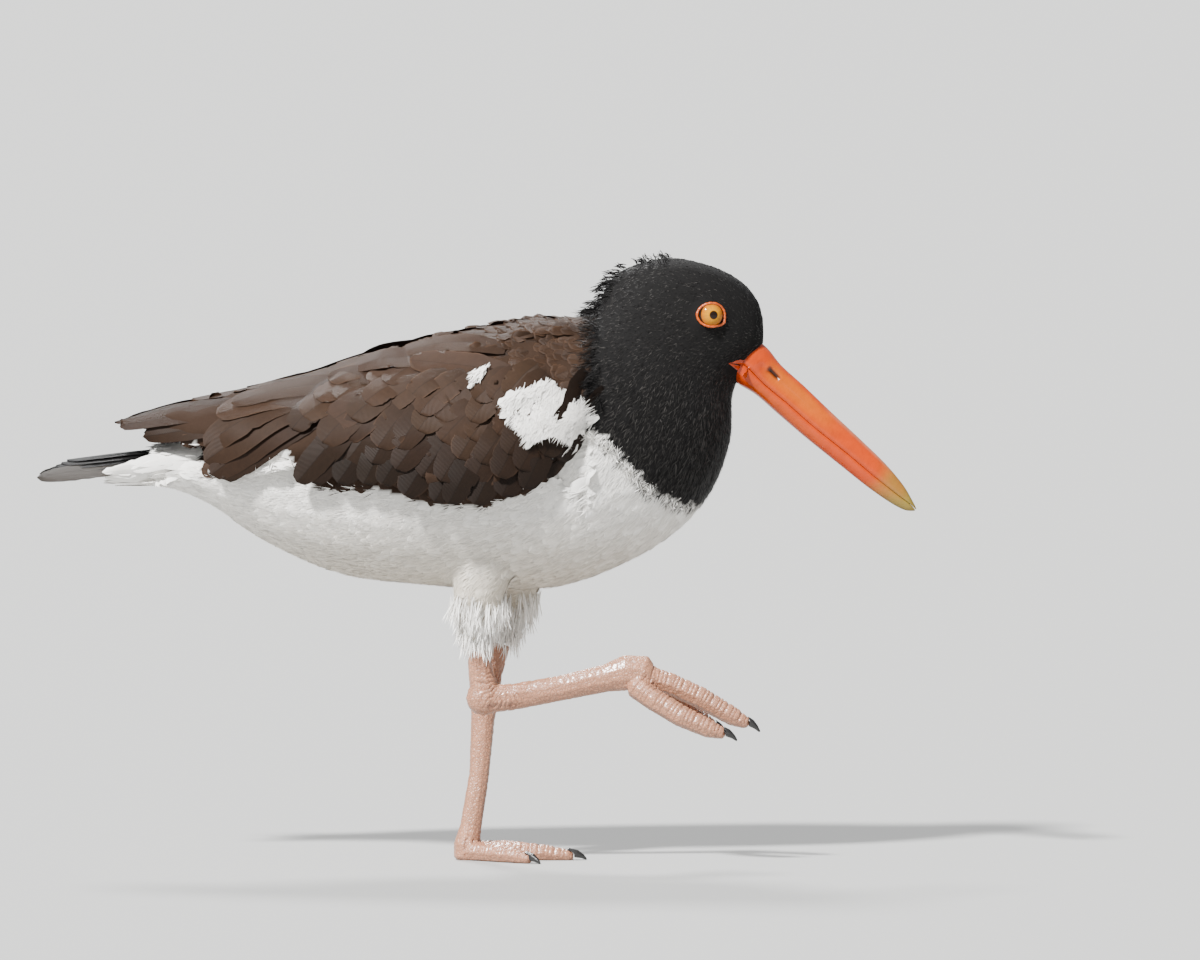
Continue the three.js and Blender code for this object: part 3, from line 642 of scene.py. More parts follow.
def root_patch(roots, shares):
    """Each sheet's small patch at its root's place on the skin's unwrap."""
    middle = np.clip(unwrap(roots), 0.01, 0.99)
    patch = middle[:, None, None] + (shares[..., ::-1] * [0.5, 1] - [0, 0.5]) * 0.003
    return patch.reshape(-1, 2)


def paint(colours, shares, fringe, root_shade, tip_from):
    """Colours by point: a fringe at a feather's edge and a shaded root."""
    u, v = shares[..., 0], abs(shares[..., 1])
    edge = np.clip(np.maximum((v - 0.9) / 0.1, (u - tip_from) / (1 - tip_from)), 0, 1) * (u > 0.3)
    tone = 1 + (fringe - 1) * edge**1.5
    tone = tone * (root_shade + (1 - root_shade) * np.clip(u / 0.5, 0, 1))
    painted = colours[:, None, None] * tone[..., None]
    return painted.reshape(-1, 3)


def dressed(sheet, roots, colours, fringe, root_shade, tip_from=0.9):
    """Sheets with their patches of the unwrap and their colours by point."""
    points, quads, flat, shares = sheet
    painted = paint(colours, shares, fringe, root_shade, tip_from)
    return points, quads, flat, root_patch(roots, shares), painted


MOST_TRIANGLES = 190000


def split_pieces(name, coat, rows, columns, look):
    """Adds a dressed coat of sheets as pieces, cut so that each stays under the most triangles."""
    points, quads, flat, patch, colours = coat
    per, faces_each = rows * columns, (rows - 1) * (columns - 1)
    feathers = len(points) // per
    step = max(1, int(MOST_TRIANGLES / 2 / faces_each))
    for number, start in enumerate(range(0, feathers, step)):
        end = min(start + step, feathers)
        span = slice(start * per, end * per)
        faces = quads[start * faces_each:end * faces_each] - start * per
        uvs = {"vane": flat[span], "OFBake": patch[span]}
        piece(f"{name}_{number + 1}", points[span], faces, look, colours[span], uvs=uvs)


def crawl(roots, way, length, steps=2):
    """Paths over the skin from roots in given directions, with the normals along them."""
    places, outs = [roots], [nearest(roots)[1]]
    here = roots
    for _ in range(steps):
        here, out = nearest(here + way * length[:, None] / steps)
        way = unit(way - (way * out).sum(axis=1, keepdims=True) * out)
        places.append(here)
        outs.append(out)
    return np.stack(places, axis=1), np.stack(outs, axis=1)


ROOT_SUNK = -0.3


def coat_vanes(
    name, where, spacing, length, width, look, rows, columns, lift, fringe, root_shade, tones, ragged, turn,
):
    """A layer of small feathers over part of the skin; none runs over the edge of a marking."""
    roots, normals = scatter(where, spacing)
    count = len(roots)
    way = turned(lie(roots, normals), normals, turn * scattered(count))
    paths, outs = crawl(roots, way, length * vary(count, 0.25))
    kept = marking(paths[:, 0]) == marking(paths[:, -1])
    roots, paths, outs, count = roots[kept], paths[kept], outs[kept], int(kept.sum())
    wide = width * vary(count, 0.2)
    rise = lift * vary(count, 0.4)
    lift = (ROOT_SUNK, rise)
    sheet = sheets(paths, outs, wide, rows, columns, tip=0.55, lift=lift, camber=0.06, ragged=ragged)
    colours = base_colours(roots) * vary(count, tones)[:, None]
    split_pieces(name, dressed(sheet, roots, colours, fringe, root_shade), rows, columns, look)


def coat_barbs(
    name, where, spacing, length, width, look, colour, strands, spread, rise, tones, root_shade=0.75,
):
    """Clumps of fine barbs over part of the skin, each a thin blade."""
    rows, columns = 4, 2
    roots, normals = (np.repeat(values, strands, axis=0) for values in scatter(where, spacing))
    count = len(roots)
    way = lie(roots, normals)
    side = np.cross(normals, way)
    roots = roots + side * (scattered(count, 1) * spacing * 0.3) + way * (rng.random((count, 1)) * spacing)
    way = turned(way, normals, spread * scattered(count))
    reach = length(roots) * vary(count, 0.35)
    steps = np.array([0, 0.5, 1.0])
    lift = (rise * reach)[:, None] * steps[None] ** 1.3 - 0.4
    paths, outs = crawl(roots, way, reach)
    paths = paths + outs * lift[..., None]
    sheet = sheets(paths, outs, width * vary(count, 0.4), rows, columns, tip=0.3)
    colours = colour(roots) * vary(count, tones)[:, None]
    split_pieces(name, dressed(sheet, roots, colours, 1, root_shade), rows, columns, look)


def clumps(name, roots, ways, length, look, colour, width, strands=7, gather=0.5, tones=0.3):
    """Barbs that stand off the coat in clumps and draw together at their tips."""
    rows, columns = 5, 2
    reach = length * vary(len(roots), 0.25)
    ends = np.repeat(roots + unit(ways) * reach[:, None], strands, axis=0)
    count = len(ends)
    starts = np.repeat(roots, strands, axis=0) + scattered(count, 3) * 0.7
    spread = scattered(count, 3) * (1 - gather) * 2.4
    bow = scattered(count, 3) * 0.25 + np.array([0, 0, 0.5])
    shares = np.array([0, 0.5, 1.0])[None, :, None]
    paths = blend(starts[:, None], (ends + spread)[:, None], shares)
    paths[:, 1] += bow
    outs = np.repeat(scattered(count, 1, 3) + [0, 0, 0.8], 3, axis=1)
    sheet = sheets(paths, unit(outs), width * vary(count, 0.4), rows, columns, tip=0.25)
    colours = colour * vary(count, tones)[:, None]
    split_pieces(name, dressed(sheet, starts, colours, 1, 0.8), rows, columns, look)


# Wing feathers

# The line of the lowest tips, from the rump to the shoulder
TIP_LINE = np.array([
    [-76.0, 154.5], [-66, 150], [-56, 149.6], [-46, 150], [-36, 148.6], [-26, 145.4], [-14, 142.4], [4, 142],
    [14, 145.4], [23, 149.6], [32, 155.4], [35, 162],
])
# Tiers of feathers laid over one another, each with its count, first and last share of the tip line, rise
# over it, length, half width, first and last slope in degrees, lift at root and tip, tone
TIERS = {
    "secondaries": (12, 0.11, 0.97, 1.4, 34, 6.5, 56, 66, 0.2, 1.4, 0.38),
    "greater_coverts": (11, 0.12, 0.98, 9.5, 27, 6.4, 50, 64, 0.5, 1.6, 0.52),
    "median_coverts": (10, 0.04, 0.86, 18, 25, 6.8, 42, 60, 0.8, 1.8, 0.74),
    "lesser_coverts_1": (9, 0.06, 0.82, 26, 21, 6.5, 32, 54, 1.0, 2.0, 0.92),
    "lesser_coverts_2": (9, 0.1, 0.79, 33, 19, 6.0, 26, 50, 1.2, 2.2, 1.02),
    "lesser_coverts_3": (10, 0.16, 0.76, 40, 17, 5.6, 22, 46, 1.3, 2.3, 1.08),
}
# Feathers placed one by one: root x, z, tip x, z, half width, lift, tone, pale fringe. The fan is the inner
# secondaries that droop behind the tiers.
FAN_FEATHERS = [
    (-52, 182, -100.5, 152.4, 6.0, 0.5, 0.5, 1.2), (-53, 184, -104.6, 154.4, 6.8, 0.9, 0.62, 1.2),
    (-54, 186, -107.2, 159.6, 7.0, 1.2, 0.74, 1.3), (-56, 188, -108.4, 166, 7.0, 1.5, 0.94, 1.4),
]
LONG_FEATHERS = [
    # primaries
    (-60, 176, -133.5, 169.4, 4.6, -0.8, 0.62, 1.1), (-62, 181, -142.5, 173.8, 4.8, -0.4, 0.62, 1.1),
    (-62, 184, -144.5, 176.4, 4.8, 0.0, 0.66, 1.2), (-60, 187, -140, 179.4, 4.8, 0.3, 0.75, 1.3),
    # tertials
    (-54, 190, -112.5, 184.4, 5.6, 1.0, 0.8, 1.3), (-58, 192, -113.5, 188.4, 5.2, 1.2, 0.9, 1.4),
    (-50, 188, -102.5, 175.6, 7.2, 1.7, 1.1, 1.5), (-46, 190, -96, 180, 6.4, 2.0, 1.0, 1.3),
    (-44, 179, -70.5, 151.6, 5.9, 1.2, 0.5, 1.2),
    # scapulars
    (-30, 192, -64, 184, 6.6, 1.5, 0.62, 1.25), (-22, 197, -58, 191, 6.4, 1.6, 0.9, 1.3),
    (-30, 200, -76, 189.6, 5.6, 1.5, 1.0, 1.4), (-44, 197, -92, 187, 5.4, 1.3, 1.05, 1.4),
    (-8, 201.5, -48, 195.4, 6.4, 1.7, 1.0, 1.35), (-6, 188, -34, 180, 6.4, 1.6, 0.9, 1.2),
    (14, 194, -25.6, 197.2, 6.6, 2.1, 1.12, 1.9), (12, 204, -30, 200.6, 5.2, 1.5, 1.08, 1.5),
    (4, 208, -26, 204, 4.2, 0.9, 1.1, 1.6), (-20, 204, -56, 198, 4.4, 1.3, 1.1, 1.5),
    (-52, 195.5, -88, 189.6, 4.2, 1.2, 1.1, 1.5),
]
FAN_BOW, LONG_BOW, TIER_BOW = 3.2, 1.5, 0.6
WING_ROWS, WING_COLUMNS = 22, 9
FORM_REACH = 6.0
# Feathers that lie level on the back sink in by this much.
BACK_SUNK = 1.2
# No feather comes nearer to the middle of the back.
MIDDLE_GAP = 0.2


def skin_above(places, outs):
    """How far the skin stands above the wing form at each place; where there is none, its usual depth."""
    found = []
    for place, out in zip(places.reshape(-1, 3).tolist(), outs.reshape(-1, 3).tolist()):
        start, way = Vector(place), Vector(out)
        hit = skin_tree.ray_cast(start + way * FORM_REACH, -way, 2 * FORM_REACH)[0]
        found.append((hit - start).dot(way) if hit else -SKIN_DEPTH)
    return np.clip(found, -2.0, 4.0).reshape(places.shape[:2])


def wing_paths(roots, tips, side, bow):
    """Paths on the skin of a wing from roots to tips in the side view, bowed upwards in their middle."""
    shares = np.linspace(0, 1, 5)
    flat = blend(roots[:, None], tips[:, None], shares[None, :, None])
    flat[..., 1] += bow[:, None] * (shares * (1 - shares) * 4)[None]
    flat[..., 1] += LOOK_DOWN * table_at(WING_FORM, flat[..., 0], 3)[0]
    places, outs = (values.reshape(-1, 5, 3) for values in wing_form(flat.reshape(-1, 2), side))
    above = skin_above(places, outs)
    above[:, 1:-1] = np.maximum(above[:, 1:-1], (above[:, :-2] + above[:, 2:]) / 2)
    above -= BACK_SUNK * smooth_step(0.88, 0.98, outs[..., 2])
    return places + outs * above[..., None], outs


def notch_feathers(points, shares):
    """Splits in a vane's edge where barbs part: single points of the edge slip towards the shaft."""
    count, rows, columns = shares.shape[:3]
    grid = points.reshape(count, rows, columns, 3)
    for feather in grid:
        for _ in range(rng.integers(0, 3)):
            row = rng.integers(rows // 3, rows - 2)
            edge, inner = (0, 2) if rng.random() < 0.5 else (columns - 1, columns - 3)
            feather[row, edge] += (feather[row, inner] - feather[row, edge]) * rng.uniform(0.3, 0.8)


def wing_layer(roots, tips, side, half, root_lift, tip_lift, tones, fringes, bow):
    """Feathers of one tier over a wing, from roots to tips in the side view."""
    count = len(roots)
    paths, outs = wing_paths(roots, tips, side, 0.8 * scattered(count) + bow)
    sheet = sheets(
        paths, outs, half, WING_ROWS, WING_COLUMNS, tip=0.66, lift=(root_lift, tip_lift + 0.2), camber=0.02,
        roll=-0.35 * side, ragged=0.012,
    )
    points, _, _, shares = sheet
    notch_feathers(points, shares)
    points[:, 1] = side * np.maximum(side * points[:, 1], MIDDLE_GAP)
    colours = BROWN * (tones * vary(count, 0.13))[:, None] * (1 + 0.012 * scattered(count, 3))
    return dressed(sheet, paths[:, 0], colours, fringes[:, None, None], 0.75, tip_from=0.96)


def wing_feathers(side, name):
    layers = []
    for count, start, end, rise, length, half, slope0, slope1, lift0, lift1, tone in TIERS.values():
        share = np.linspace(start, end, count) + 0.3 / count * (rng.random(count) - 0.5)
        tips = polyline_at(TIP_LINE, np.clip(share, 0, 1)) + [0, rise]
        tips += scattered(count, 2) * [0.5, 0.7]
        slope = np.radians(np.linspace(slope0, slope1, count) * vary(count, 0.05))
        reach = length * vary(count, 0.08)
        roots = tips + np.stack([np.cos(slope), np.sin(slope)], axis=1) * reach[:, None]
        halves = half * vary(count, 0.08)
        fringes = 1.0 + 0.3 * rng.random(count) + 1.1 * (rng.random(count) < 0.22)
        layers.append(wing_layer(roots, tips, side, halves, lift0, lift1, tone, fringes, TIER_BOW))
    for feathers, bow in ((FAN_FEATHERS, FAN_BOW), (LONG_FEATHERS, LONG_BOW)):
        long = np.array(feathers, dtype=float)
        long[:, :4] += scattered(len(long), 4) * 0.3
        half, lift, tones, fringes = long[:, 4:].T
        layers.append(
            wing_layer(long[:, :2], long[:, 2:4], side, half, lift - 1.0, lift + 0.7, tones, fringes, bow)
        )
    offsets = np.cumsum([0] + [len(layer[0]) for layer in layers[:-1]])
    points, flat, patch, colours = (np.vstack([layer[k] for layer in layers]) for k in (0, 2, 3, 4))
    quads = np.vstack([layer[1] + offset for layer, offset in zip(layers, offsets)])
    coat = (points, quads, flat, patch, colours)
    split_pieces(name, coat, WING_ROWS, WING_COLUMNS, BROWN_VANE)


wing_feathers(-1, "wing_right_feathers")
wing_feathers(1, "wing_left_feathers")


# Where each kind of coat grows

EYE_CLEAR = 6.8
# The bare skin at the bill's base: the corner of the mouth, the feathers' edge from there up to the ridge of
# the bill, and down to the chin.
GAPE_CORNER = np.array([100.9, 199.5])
GAPE_TOP = np.array([[104.0, 201.2], [109, 202.6], [116.4, 205.4]])
GAPE_LOW = np.array([[103.4, 197.4], [106.4, 195], [104.6, 190.6]])
GAPE_AREA = np.vstack([[GAPE_CORNER], GAPE_TOP, [[122, 200], [112, 186]], GAPE_LOW[::-1]])
# The wings' own feathers cover the skin down to this depth.
WING_COVER = 5
TAIL_FROM = (-95, 157)
MANTLE_END = -112


def white_area(points, normals):
    on_tail = (points[:, 2] > TAIL_FROM[1]) & (points[:, 0] < TAIL_FROM[0])
    return (marking(points) == IS_WHITE) & ~on_tail


def black_area(points, normals):
    from_eye = np.hypot(points[:, 0] - EYE_CENTRE[0], points[:, 2] - EYE_CENTRE[1] - EYE_RAISED)
    return (marking(points) == IS_BLACK) & (from_eye > EYE_CLEAR) & ~inside(points, GAPE_AREA)


def mantle_area(points, normals):
    x, y, z = points.T
    form, _ = wing_form(points[:, [0, 2]], 1)
    under_wing = (abs(y) > abs(form[:, 1]) - WING_COVER) & inside(points, BROWN_AREA)
    shoulder = (x > 4) & (z > 176) | (x > 26) & (z > 160)
    return (marking(points) == IS_BROWN) & (~under_wing | shoulder) & (x > MANTLE_END)


def white_length(points):
    return np.full(len(points), 6.2)


def black_length(points):
    """Short on the crown, longer down the neck."""
    return np.interp(points[:, 2], [150, 190, 215, 240], [4.8, 4.2, 3.2, 2.8])


def black_tones(points):
    """Most barbs are black; some at random get painted sheen, a lighter dark grey."""
    painted_sheen = rng.random((len(points), 1)) ** 2.5
    return BLACK + painted_sheen * np.array([0.042, 0.039, 0.036])


coat_vanes(
    "white_vanes", white_area, 3.4, 11, 3.0, WHITE_VANE, rows=7, columns=5,
    lift=0.35, fringe=1.0, root_shade=0.94, tones=0.03, ragged=0.08, turn=0.2,
)
coat_barbs(
    "white_barbs", white_area, 1.6, white_length, 0.15, WHITE_BARB, base_colours, strands=5, spread=0.22,
    rise=0.15, tones=0.12, root_shade=0.85,
)
coat_vanes(
    "black_vanes", black_area, 2.6, 6, 1.9, BLACK_VANE, rows=5, columns=3,
    lift=0.2, fringe=1.0, root_shade=0.9, tones=0.08, ragged=0.12, turn=0.25,
)
coat_barbs(
    "black_barbs", black_area, 1.25, black_length, 0.12, BLACK_BARB, black_tones, strands=4, spread=0.3,
    rise=0.2, tones=0.3,
)
coat_vanes(
    "mantle_vanes", mantle_area, 3.0, 8, 2.9, BROWN_VANE, rows=8, columns=7,
    lift=0.8, fringe=2.0, root_shade=0.6, tones=0.2, ragged=0.04, turn=0.22,
)


# Standing tufts

def nape_area(points, normals):
    x, y, z = points.T
    nape = (x < 61) & (z > 219)
    crown = (z > 238.5) & (x < 78)
    return (nape | crown) & (abs(y) < 12)


def nape_length(roots):
    """Long on the nape and short on the crown."""
    return np.where(roots[:, 0] < 62, 7.2, 3.6) * (0.6 + 0.5 * rng.random(len(roots)))


def hood_rim(points, normals):
    return (marking(points) == IS_BLACK) & (points[:, 0] < 50) & (points[:, 2] > 175)


def hood_length(roots):
    return np.full(len(roots), 5.2)


def cuff_area(points, normals):
    y, z = points[:, 1], points[:, 2]
    return (z < 108) & (z > 89) & (abs(y) > 4) & (normals[:, 2] > -0.6)


def cuff_length(roots):
    return np.interp(roots[:, 2], [88, 108], [7.5, 10])


def tufts(name, where, spacing, raised, length, outwards, along, loose, drift, look, colour, **clump):
    """Clumps over part of the skin that run outwards, along the coat's lie, by a drift and a bit at random."""
    roots, normals = scatter(where, spacing)
    ways = outwards * normals + along * lie(roots, normals) + loose * rng.standard_normal(roots.shape) + drift
    clumps(name, roots + normals * raised, ways, length(roots), look, colour, **clump)


BORDER_EDGE = HOOD_EDGE[6:14]
BORDER_CLUMPS = 95


def border_tufts():
    """White barbs that lie over the hood's lower edge, on both sides."""
    roots, ways = [], []
    for side in (-1, 1):
        flat = polyline_at(BORDER_EDGE, rng.random(BORDER_CLUMPS))
        flat = flat + scattered(BORDER_CLUMPS, 2) * 0.8 + [-1.4, -1.6]
        places, normals = beside(flat, side)
        roots.append(places)
        ways.append(normals * 0.45 + np.array([-0.35, 0, 0.8]) + 0.2 * rng.standard_normal(places.shape))
    clumps(
        "border_tufts", np.vstack(roots), np.vstack(ways), 3.6, WHITE_BARB, WHITE, width=0.13, strands=6,
        tones=0.1,
    )


tufts(
    "nape_tufts", nape_area, 3.4, 0, nape_length, 0.55, 0.9, 0.25, (-0.15, 0, 0.25), BLACK_BARB, BLACK * 1.3,
    width=0.2, gather=0.75,
)
# Black barbs of the hood that run out over the mantle
tufts(
    "hood_tufts", hood_rim, 1.9, 0.2, hood_length, 0.22, 1, 0.16, (0, 0, 0), BLACK_BARB, BLACK * 1.4,
    width=0.13,
)
# Fluffy white barbs that hang over the tops of the legs
tufts(
    "cuff_tufts", cuff_area, 2.1, 0.3, cuff_length, 0.1, 0, 0.1, (-0.08, 0, -1), WHITE_BARB, WHITE,
    width=0.17, strands=9, gather=0.6, tones=0.08,
)
border_tufts()


# White feathers over the wings

PATCH_WAY = np.array([-0.6, -0.8])
PATCH_LIFT = 3.2


def white_patch(name, polygon, count, length, half, rows, columns, lift, look):
    """White feathers over the wing feathers inside a polygon of the side view, on both sides."""
    low, high = polygon.min(axis=0), polygon.max(axis=0)
    paths, outs = [], []
    for side in (-1, 1):
        flat = low + rng.random((count * 4, 2)) * (high - low)
        flat = flat[inside(flat, polygon)][:count]
        ways = unit(PATCH_WAY + 0.28 * rng.standard_normal(flat.shape))
        reach = length * vary(len(flat), 0.3)[:, None]
        level = np.zeros(len(flat))
        path, out = wing_paths(flat - ways * reach * 0.45, flat + ways * reach * 0.55, side, level)
        paths.append(path)
        outs.append(out)
    paths, outs = np.vstack(paths), np.vstack(outs)
    halves = half * vary(len(paths), 0.3)
    lifts = (lift - 0.8, lift + 0.9 * rng.random(len(paths)))
    sheet = sheets(paths, outs, halves, rows, columns, tip=0.4, lift=lifts, camber=0.02, ragged=0.1)
    colours = WHITE * vary(len(paths), 0.04)[:, None]
    split_pieces(name, dressed(sheet, paths[:, 0], colours, 1, 0.95), rows, columns, look)


for place, polygon, count, size in (("shoulder", SHOULDER_PATCH, 150, 1.0), ("back", BACK_SPOT, 9, 0.6)):
    vanes, barbs = place + "_patch_vanes", place + "_patch_barbs"
    white_patch(vanes, polygon, count, 6 * size, 1.7 * size, 7, 5, PATCH_LIFT, WHITE_VANE)
    white_patch(barbs, polygon, count * 9, 6.5 * size, 0.15, 4, 2, PATCH_LIFT + 0.5, WHITE_BARB)


# Tail

TAIL_ROOT = (-99.0, 166.5)
TAIL_TIP = (-163.6, 160.6)
TAIL_PAIRS = 6
TAIL_HALF = 6.6
TAIL_GREY = np.array([0.034, 0.029, 0.0245])
# The coverts' sheath round the tail: x, middle height, half height, half width
SHEATH = np.array([
    [-150.0, 155.8, 3.9, 15.5], [-131, 158.2, 7.0, 18], [-112, 160.2, 8.4, 17], [-98, 160.4, 8.4, 14],
])
TAIL_COVERTS = 620
COVERT_LENGTH = 17


def tail():
    """Pairs of tail feathers, each pair further out, lower and greyer than the one before."""
    rows, columns = 30, 9
    roots, tips, outs = [], [], []
    for side, share in product((1, -1), np.linspace(0, 1, TAIL_PAIRS)):
        roots.append((TAIL_ROOT[0], side * (1 + 8.6 * share), TAIL_ROOT[1] - 3.2 * share))
        tips.append((TAIL_TIP[0] - 11.5 * share, side * (1.5 + 12 * share), TAIL_TIP[1] - 6.2 * share))
        roll = math.radians(3 + 25 * share)
        outs.append((0, side * math.sin(roll), math.cos(roll)))
    roots, tips, outs = (np.array(a, dtype=float) for a in (roots, tips, outs))
    paths = blend(roots[:, None], tips[:, None], np.linspace(0, 1, 4)[None, :, None])
    paths[:, 1:3, 2] += 0.8
    normals = np.repeat(outs[:, None], 4, axis=1)
    sheet = sheets(paths, normals, TAIL_HALF, rows, columns, tip=0.66, camber=0.05, ragged=0.012)
    points, _, _, shares = sheet
    notch_feathers(points, shares)
    grey = smooth_step(0.55, 0.9, np.tile(np.linspace(0, 1, TAIL_PAIRS), 2))[:, None]
    coat = dressed(sheet, roots, blend(BLACK, TAIL_GREY, grey), 0.6, 0.8)
    split_pieces("tail_feathers", coat, rows, columns, TAIL_VANE)
    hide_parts("tail")


def tail_coverts():
    """White feathers that wrap the tail's root, further back below than above."""
    rows, columns, count = 7, 5, TAIL_COVERTS
    turn = 2 * math.pi * (np.arange(count) + rng.random(count)) / count
    reach = np.where(np.sin(turn) < 0.35, 33, 15)
    starts = TAIL_ROOT[0] - reach * rng.random(count)
    x = starts[:, None] - np.linspace(0, 1, 4)[None, :] * COVERT_LENGTH
    middle, high, wide = table_at(SHEATH, x, 1, 2, 3)
    cosine, sine = np.cos(turn)[:, None], np.sin(turn)[:, None]
    outs = unit(np.stack([0 * x, cosine / wide, sine / high], axis=-1))
    paths = np.stack([x, wide * cosine, middle + high * sine], axis=-1)
    paths += 0.5 * scattered(count, 1, 3)
    halves = 2.1 * vary(count, 0.2)
    lift = (0.1, 0.8 * rng.random(count))
    sheet = sheets(paths, outs, halves, rows, columns, tip=0.5, lift=lift, camber=0.06, ragged=0.1)
    coat = dressed(sheet, paths[:, 0], WHITE * vary(count, 0.03)[:, None], 1, 0.97)
    split_pieces("tail_coverts", coat, rows, columns, WHITE_VANE)


tail()
tail_coverts()


# Bill

BILL_START = (110.5, 198.5)
BILL_DROP = math.radians(41.8)
# Distance from the face, ridge, mouth line, underside, half width
BILL = np.array([
    [-9.0, 8.6, -2.4, -8.4, 6.6], [0, 9, -2, -9.5, 7], [9, 7.6, -2.5, -8, 5.8], [21, 7.5, -2.1, -7.8, 5],
    [35, 7, -2, -7.5, 4.5], [52, 6.6, -1.1, -6.6, 4], [66, 6, -0.7, -5.8, 3.3], [77, 4.4, -0.1, -4.5, 2.5],
    [84, 2.2, 0.5, -2.8, 1.7], [87.3, 0.9, 0.3, -0.4, 0.5],
])
BILL_ORANGE = np.array([0.4, 0.036, 0.0])
BILL_YELLOW = np.array([0.43, 0.085, 0.0])
BILL_TIP = np.array([0.2, 0.135, 0.022])
# Pale colour of the painted highlight along the bill's ridge
BILL_RIDGE_HIGHLIGHT = np.array([0.36, 0.15, 0.085])
MOUTH_GAP = 0.15
GROOVE_DEEP = 0.55
NOSTRIL_AT, NOSTRIL_UP, NOSTRIL_DEEP = 8.6, 3.2, 1.6
NOSTRIL_LONG, NOSTRIL_HIGH = 2.9, 0.8
# There the orange skin has gone in under the bill's side.
GAPE_HALF = 6.5
GAPE_ENDS = np.array([[110.5, 203.2], [108.0, 193.4]])


def mandible(upper):
    """The upper or the lower half of the bill, closed along the mouth line."""
    rows, columns = 230, 56
    table = spline_weights(len(BILL), np.linspace(0, 1, rows)) @ BILL
    along, ridge, mouth, under, half = table.T[..., None]
    sign = 1 if upper else -1
    edge = mouth + sign * MOUTH_GAP
    deep = np.maximum(sign * ((ridge if upper else under) - edge), 0.12)
    turn = np.linspace(0, 2 * math.pi, columns, endpoint=False)[None]
    rising = np.abs(np.sin(turn))
    arch = np.where(np.sin(turn) > 0, rising**0.8, -0.06 * rising)
    up = edge + sign * deep * arch
    y = half * np.cos(turn) * np.where(np.sin(turn) < 0, 0.96, 1)
    far = np.broadcast_to(along, up.shape)
    # A groove runs forward from the nostril's slit.
    if upper:
        groove = bell((up - edge) / np.maximum(deep, 1) - 0.42, 0.16)
        groove = groove * smooth_step(0, 4, far) * (1 - smooth_step(22, 40, far))
        y = y - np.sign(y) * groove * GROOVE_DEEP
        slit_up = up - NOSTRIL_UP + (far - NOSTRIL_AT) * 0.06
        slit = np.exp(-(((far - NOSTRIL_AT) / NOSTRIL_LONG) ** 6)) * np.exp(-((slit_up / NOSTRIL_HIGH) ** 4))
        y = y - np.sign(y) * slit * NOSTRIL_DEEP
    cosine, sine = math.cos(BILL_DROP), math.sin(BILL_DROP)
    x = BILL_START[0] + far * cosine + up * sine
    z = BILL_START[1] - far * sine + up * cosine
    points = np.stack([x, y, z], axis=-1).reshape(-1, 3)
    far, height = far.reshape(-1, 1), ((up - edge) * sign / np.maximum(deep, 0.5)).reshape(-1, 1)
    wobbly = far + noise_at(points, 0.12)[:, None] * 6
    yellow = smooth_step(2, 9, far) * (1 - smooth_step(26, 50, wobbly)) * (0.8 if upper else 0.25)
    yellow = yellow * smooth_step(-0.1, 0.5, height) * (1 - smooth_step(0.75, 1.0, height))
    colour = blend(BILL_ORANGE, BILL_YELLOW, yellow)
    if upper:
        # Painted highlight: a pale band along the top of the upper bill's ridge, over its middle.
        ridge_highlight = smooth_step(28, 42, far) * (1 - smooth_step(64, 76, far)) * smooth_step(0.8, 1, height)
        colour = blend(colour, BILL_RIDGE_HIGHLIGHT, ridge_highlight * 0.7)
        # Painted shade: the nostril's slit darkened almost to black.
        colour = colour * (1 - slit.reshape(-1, 1) ** 0.5 * 0.99)
    colour = blend(colour, BILL_TIP, smooth_step(62, 80, wobbly))
    colour = colour * (1 + 0.12 * noise_at(points, 0.35, 5) + 0.08 * noise_at(points, 1.3, 9))[:, None]
    name = "upper_mandible" if upper else "lower_mandible"
    made = piece(name, points, grid_quads(rows, columns, closed=True), BILL_HORN, colour)
    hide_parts("bill_upper" if upper else "bill_lower")


def gape(side, name):
    """The bill's orange skin that runs back over the cheek to the corner of the mouth."""
    rows, columns = 26, 17
    along = np.linspace(0, 1, rows)[:, None]
    across = np.linspace(-1, 1, columns)[None]
    top_end, low_end = GAPE_ENDS
    ends = (top_end + low_end) / 2 + (low_end - top_end) / 2 * across[..., None]
    flat = GAPE_CORNER + (ends - GAPE_CORNER) * along[..., None]
    places, normals = beside(flat.reshape(-1, 2), side)
    onto_bill = smooth_step(105, 109.5, places[:, 0])
    places[:, 1] = blend(places[:, 1], side * np.minimum(abs(places[:, 1]), GAPE_HALF), onto_bill)
    from_fold = np.abs(across + 0.25 - 0.55 * along)
    swell = 0.5 * np.sqrt(np.clip(1 - np.abs(across) ** 3, 0, 1)) * (0.35 + 0.65 * along)
    swell = swell - 0.5 * bell(from_fold, 0.09)
    points = places + normals * (swell.ravel()[:, None] - 0.1)
    colour = BILL_ORANGE * (0.85 + 0.15 * along[..., None] + 0 * across[..., None])
    # Painted shade: darker along the fold that is pressed into the skin.
    colour = colour * (1 - 0.8 * bell(from_fold, 0.12))[..., None]
    piece("gape_" + name, points, grid_quads(rows, columns), BILL_HORN, colour)


mandible(True)
mandible(False)
gape(-1, "right")
gape(1, "left")


# Eyes

IRIS_RADIUS, PUPIL_RADIUS = 4.35, 1.7
PUPIL_OFF = (0.25, -0.1)
EYE_OUT = np.array([0.2758, 0.9593, 0.0599])
IRIS = np.array([0.44, 0.175, 0.0])
IRIS_RIM = np.array([0.36, 0.1, 0.0])
PUPIL = np.array([0.012, 0.006, 0.004])
RING = np.array([0.34, 0.05, 0.0])
RING_HALF_LONG, RING_HALF_HIGH, RING_THICK = 5.6, 4.65, 0.55
RING_POINT = math.radians(-38)
RING_SEAT = 5.2


def eye_axes(side):
    """An eye's middle, and its directions outwards, up and ahead."""
    centre = np.array([EYE_CENTRE[0], side * abs(EYE_Y), EYE_CENTRE[1] + EYE_RAISED])
    out = EYE_OUT * [1, side, 1]
    up = unit(np.array([0, 0, 1.0]) - out * out[2])
    return centre, out, up, np.cross(out, up) * side


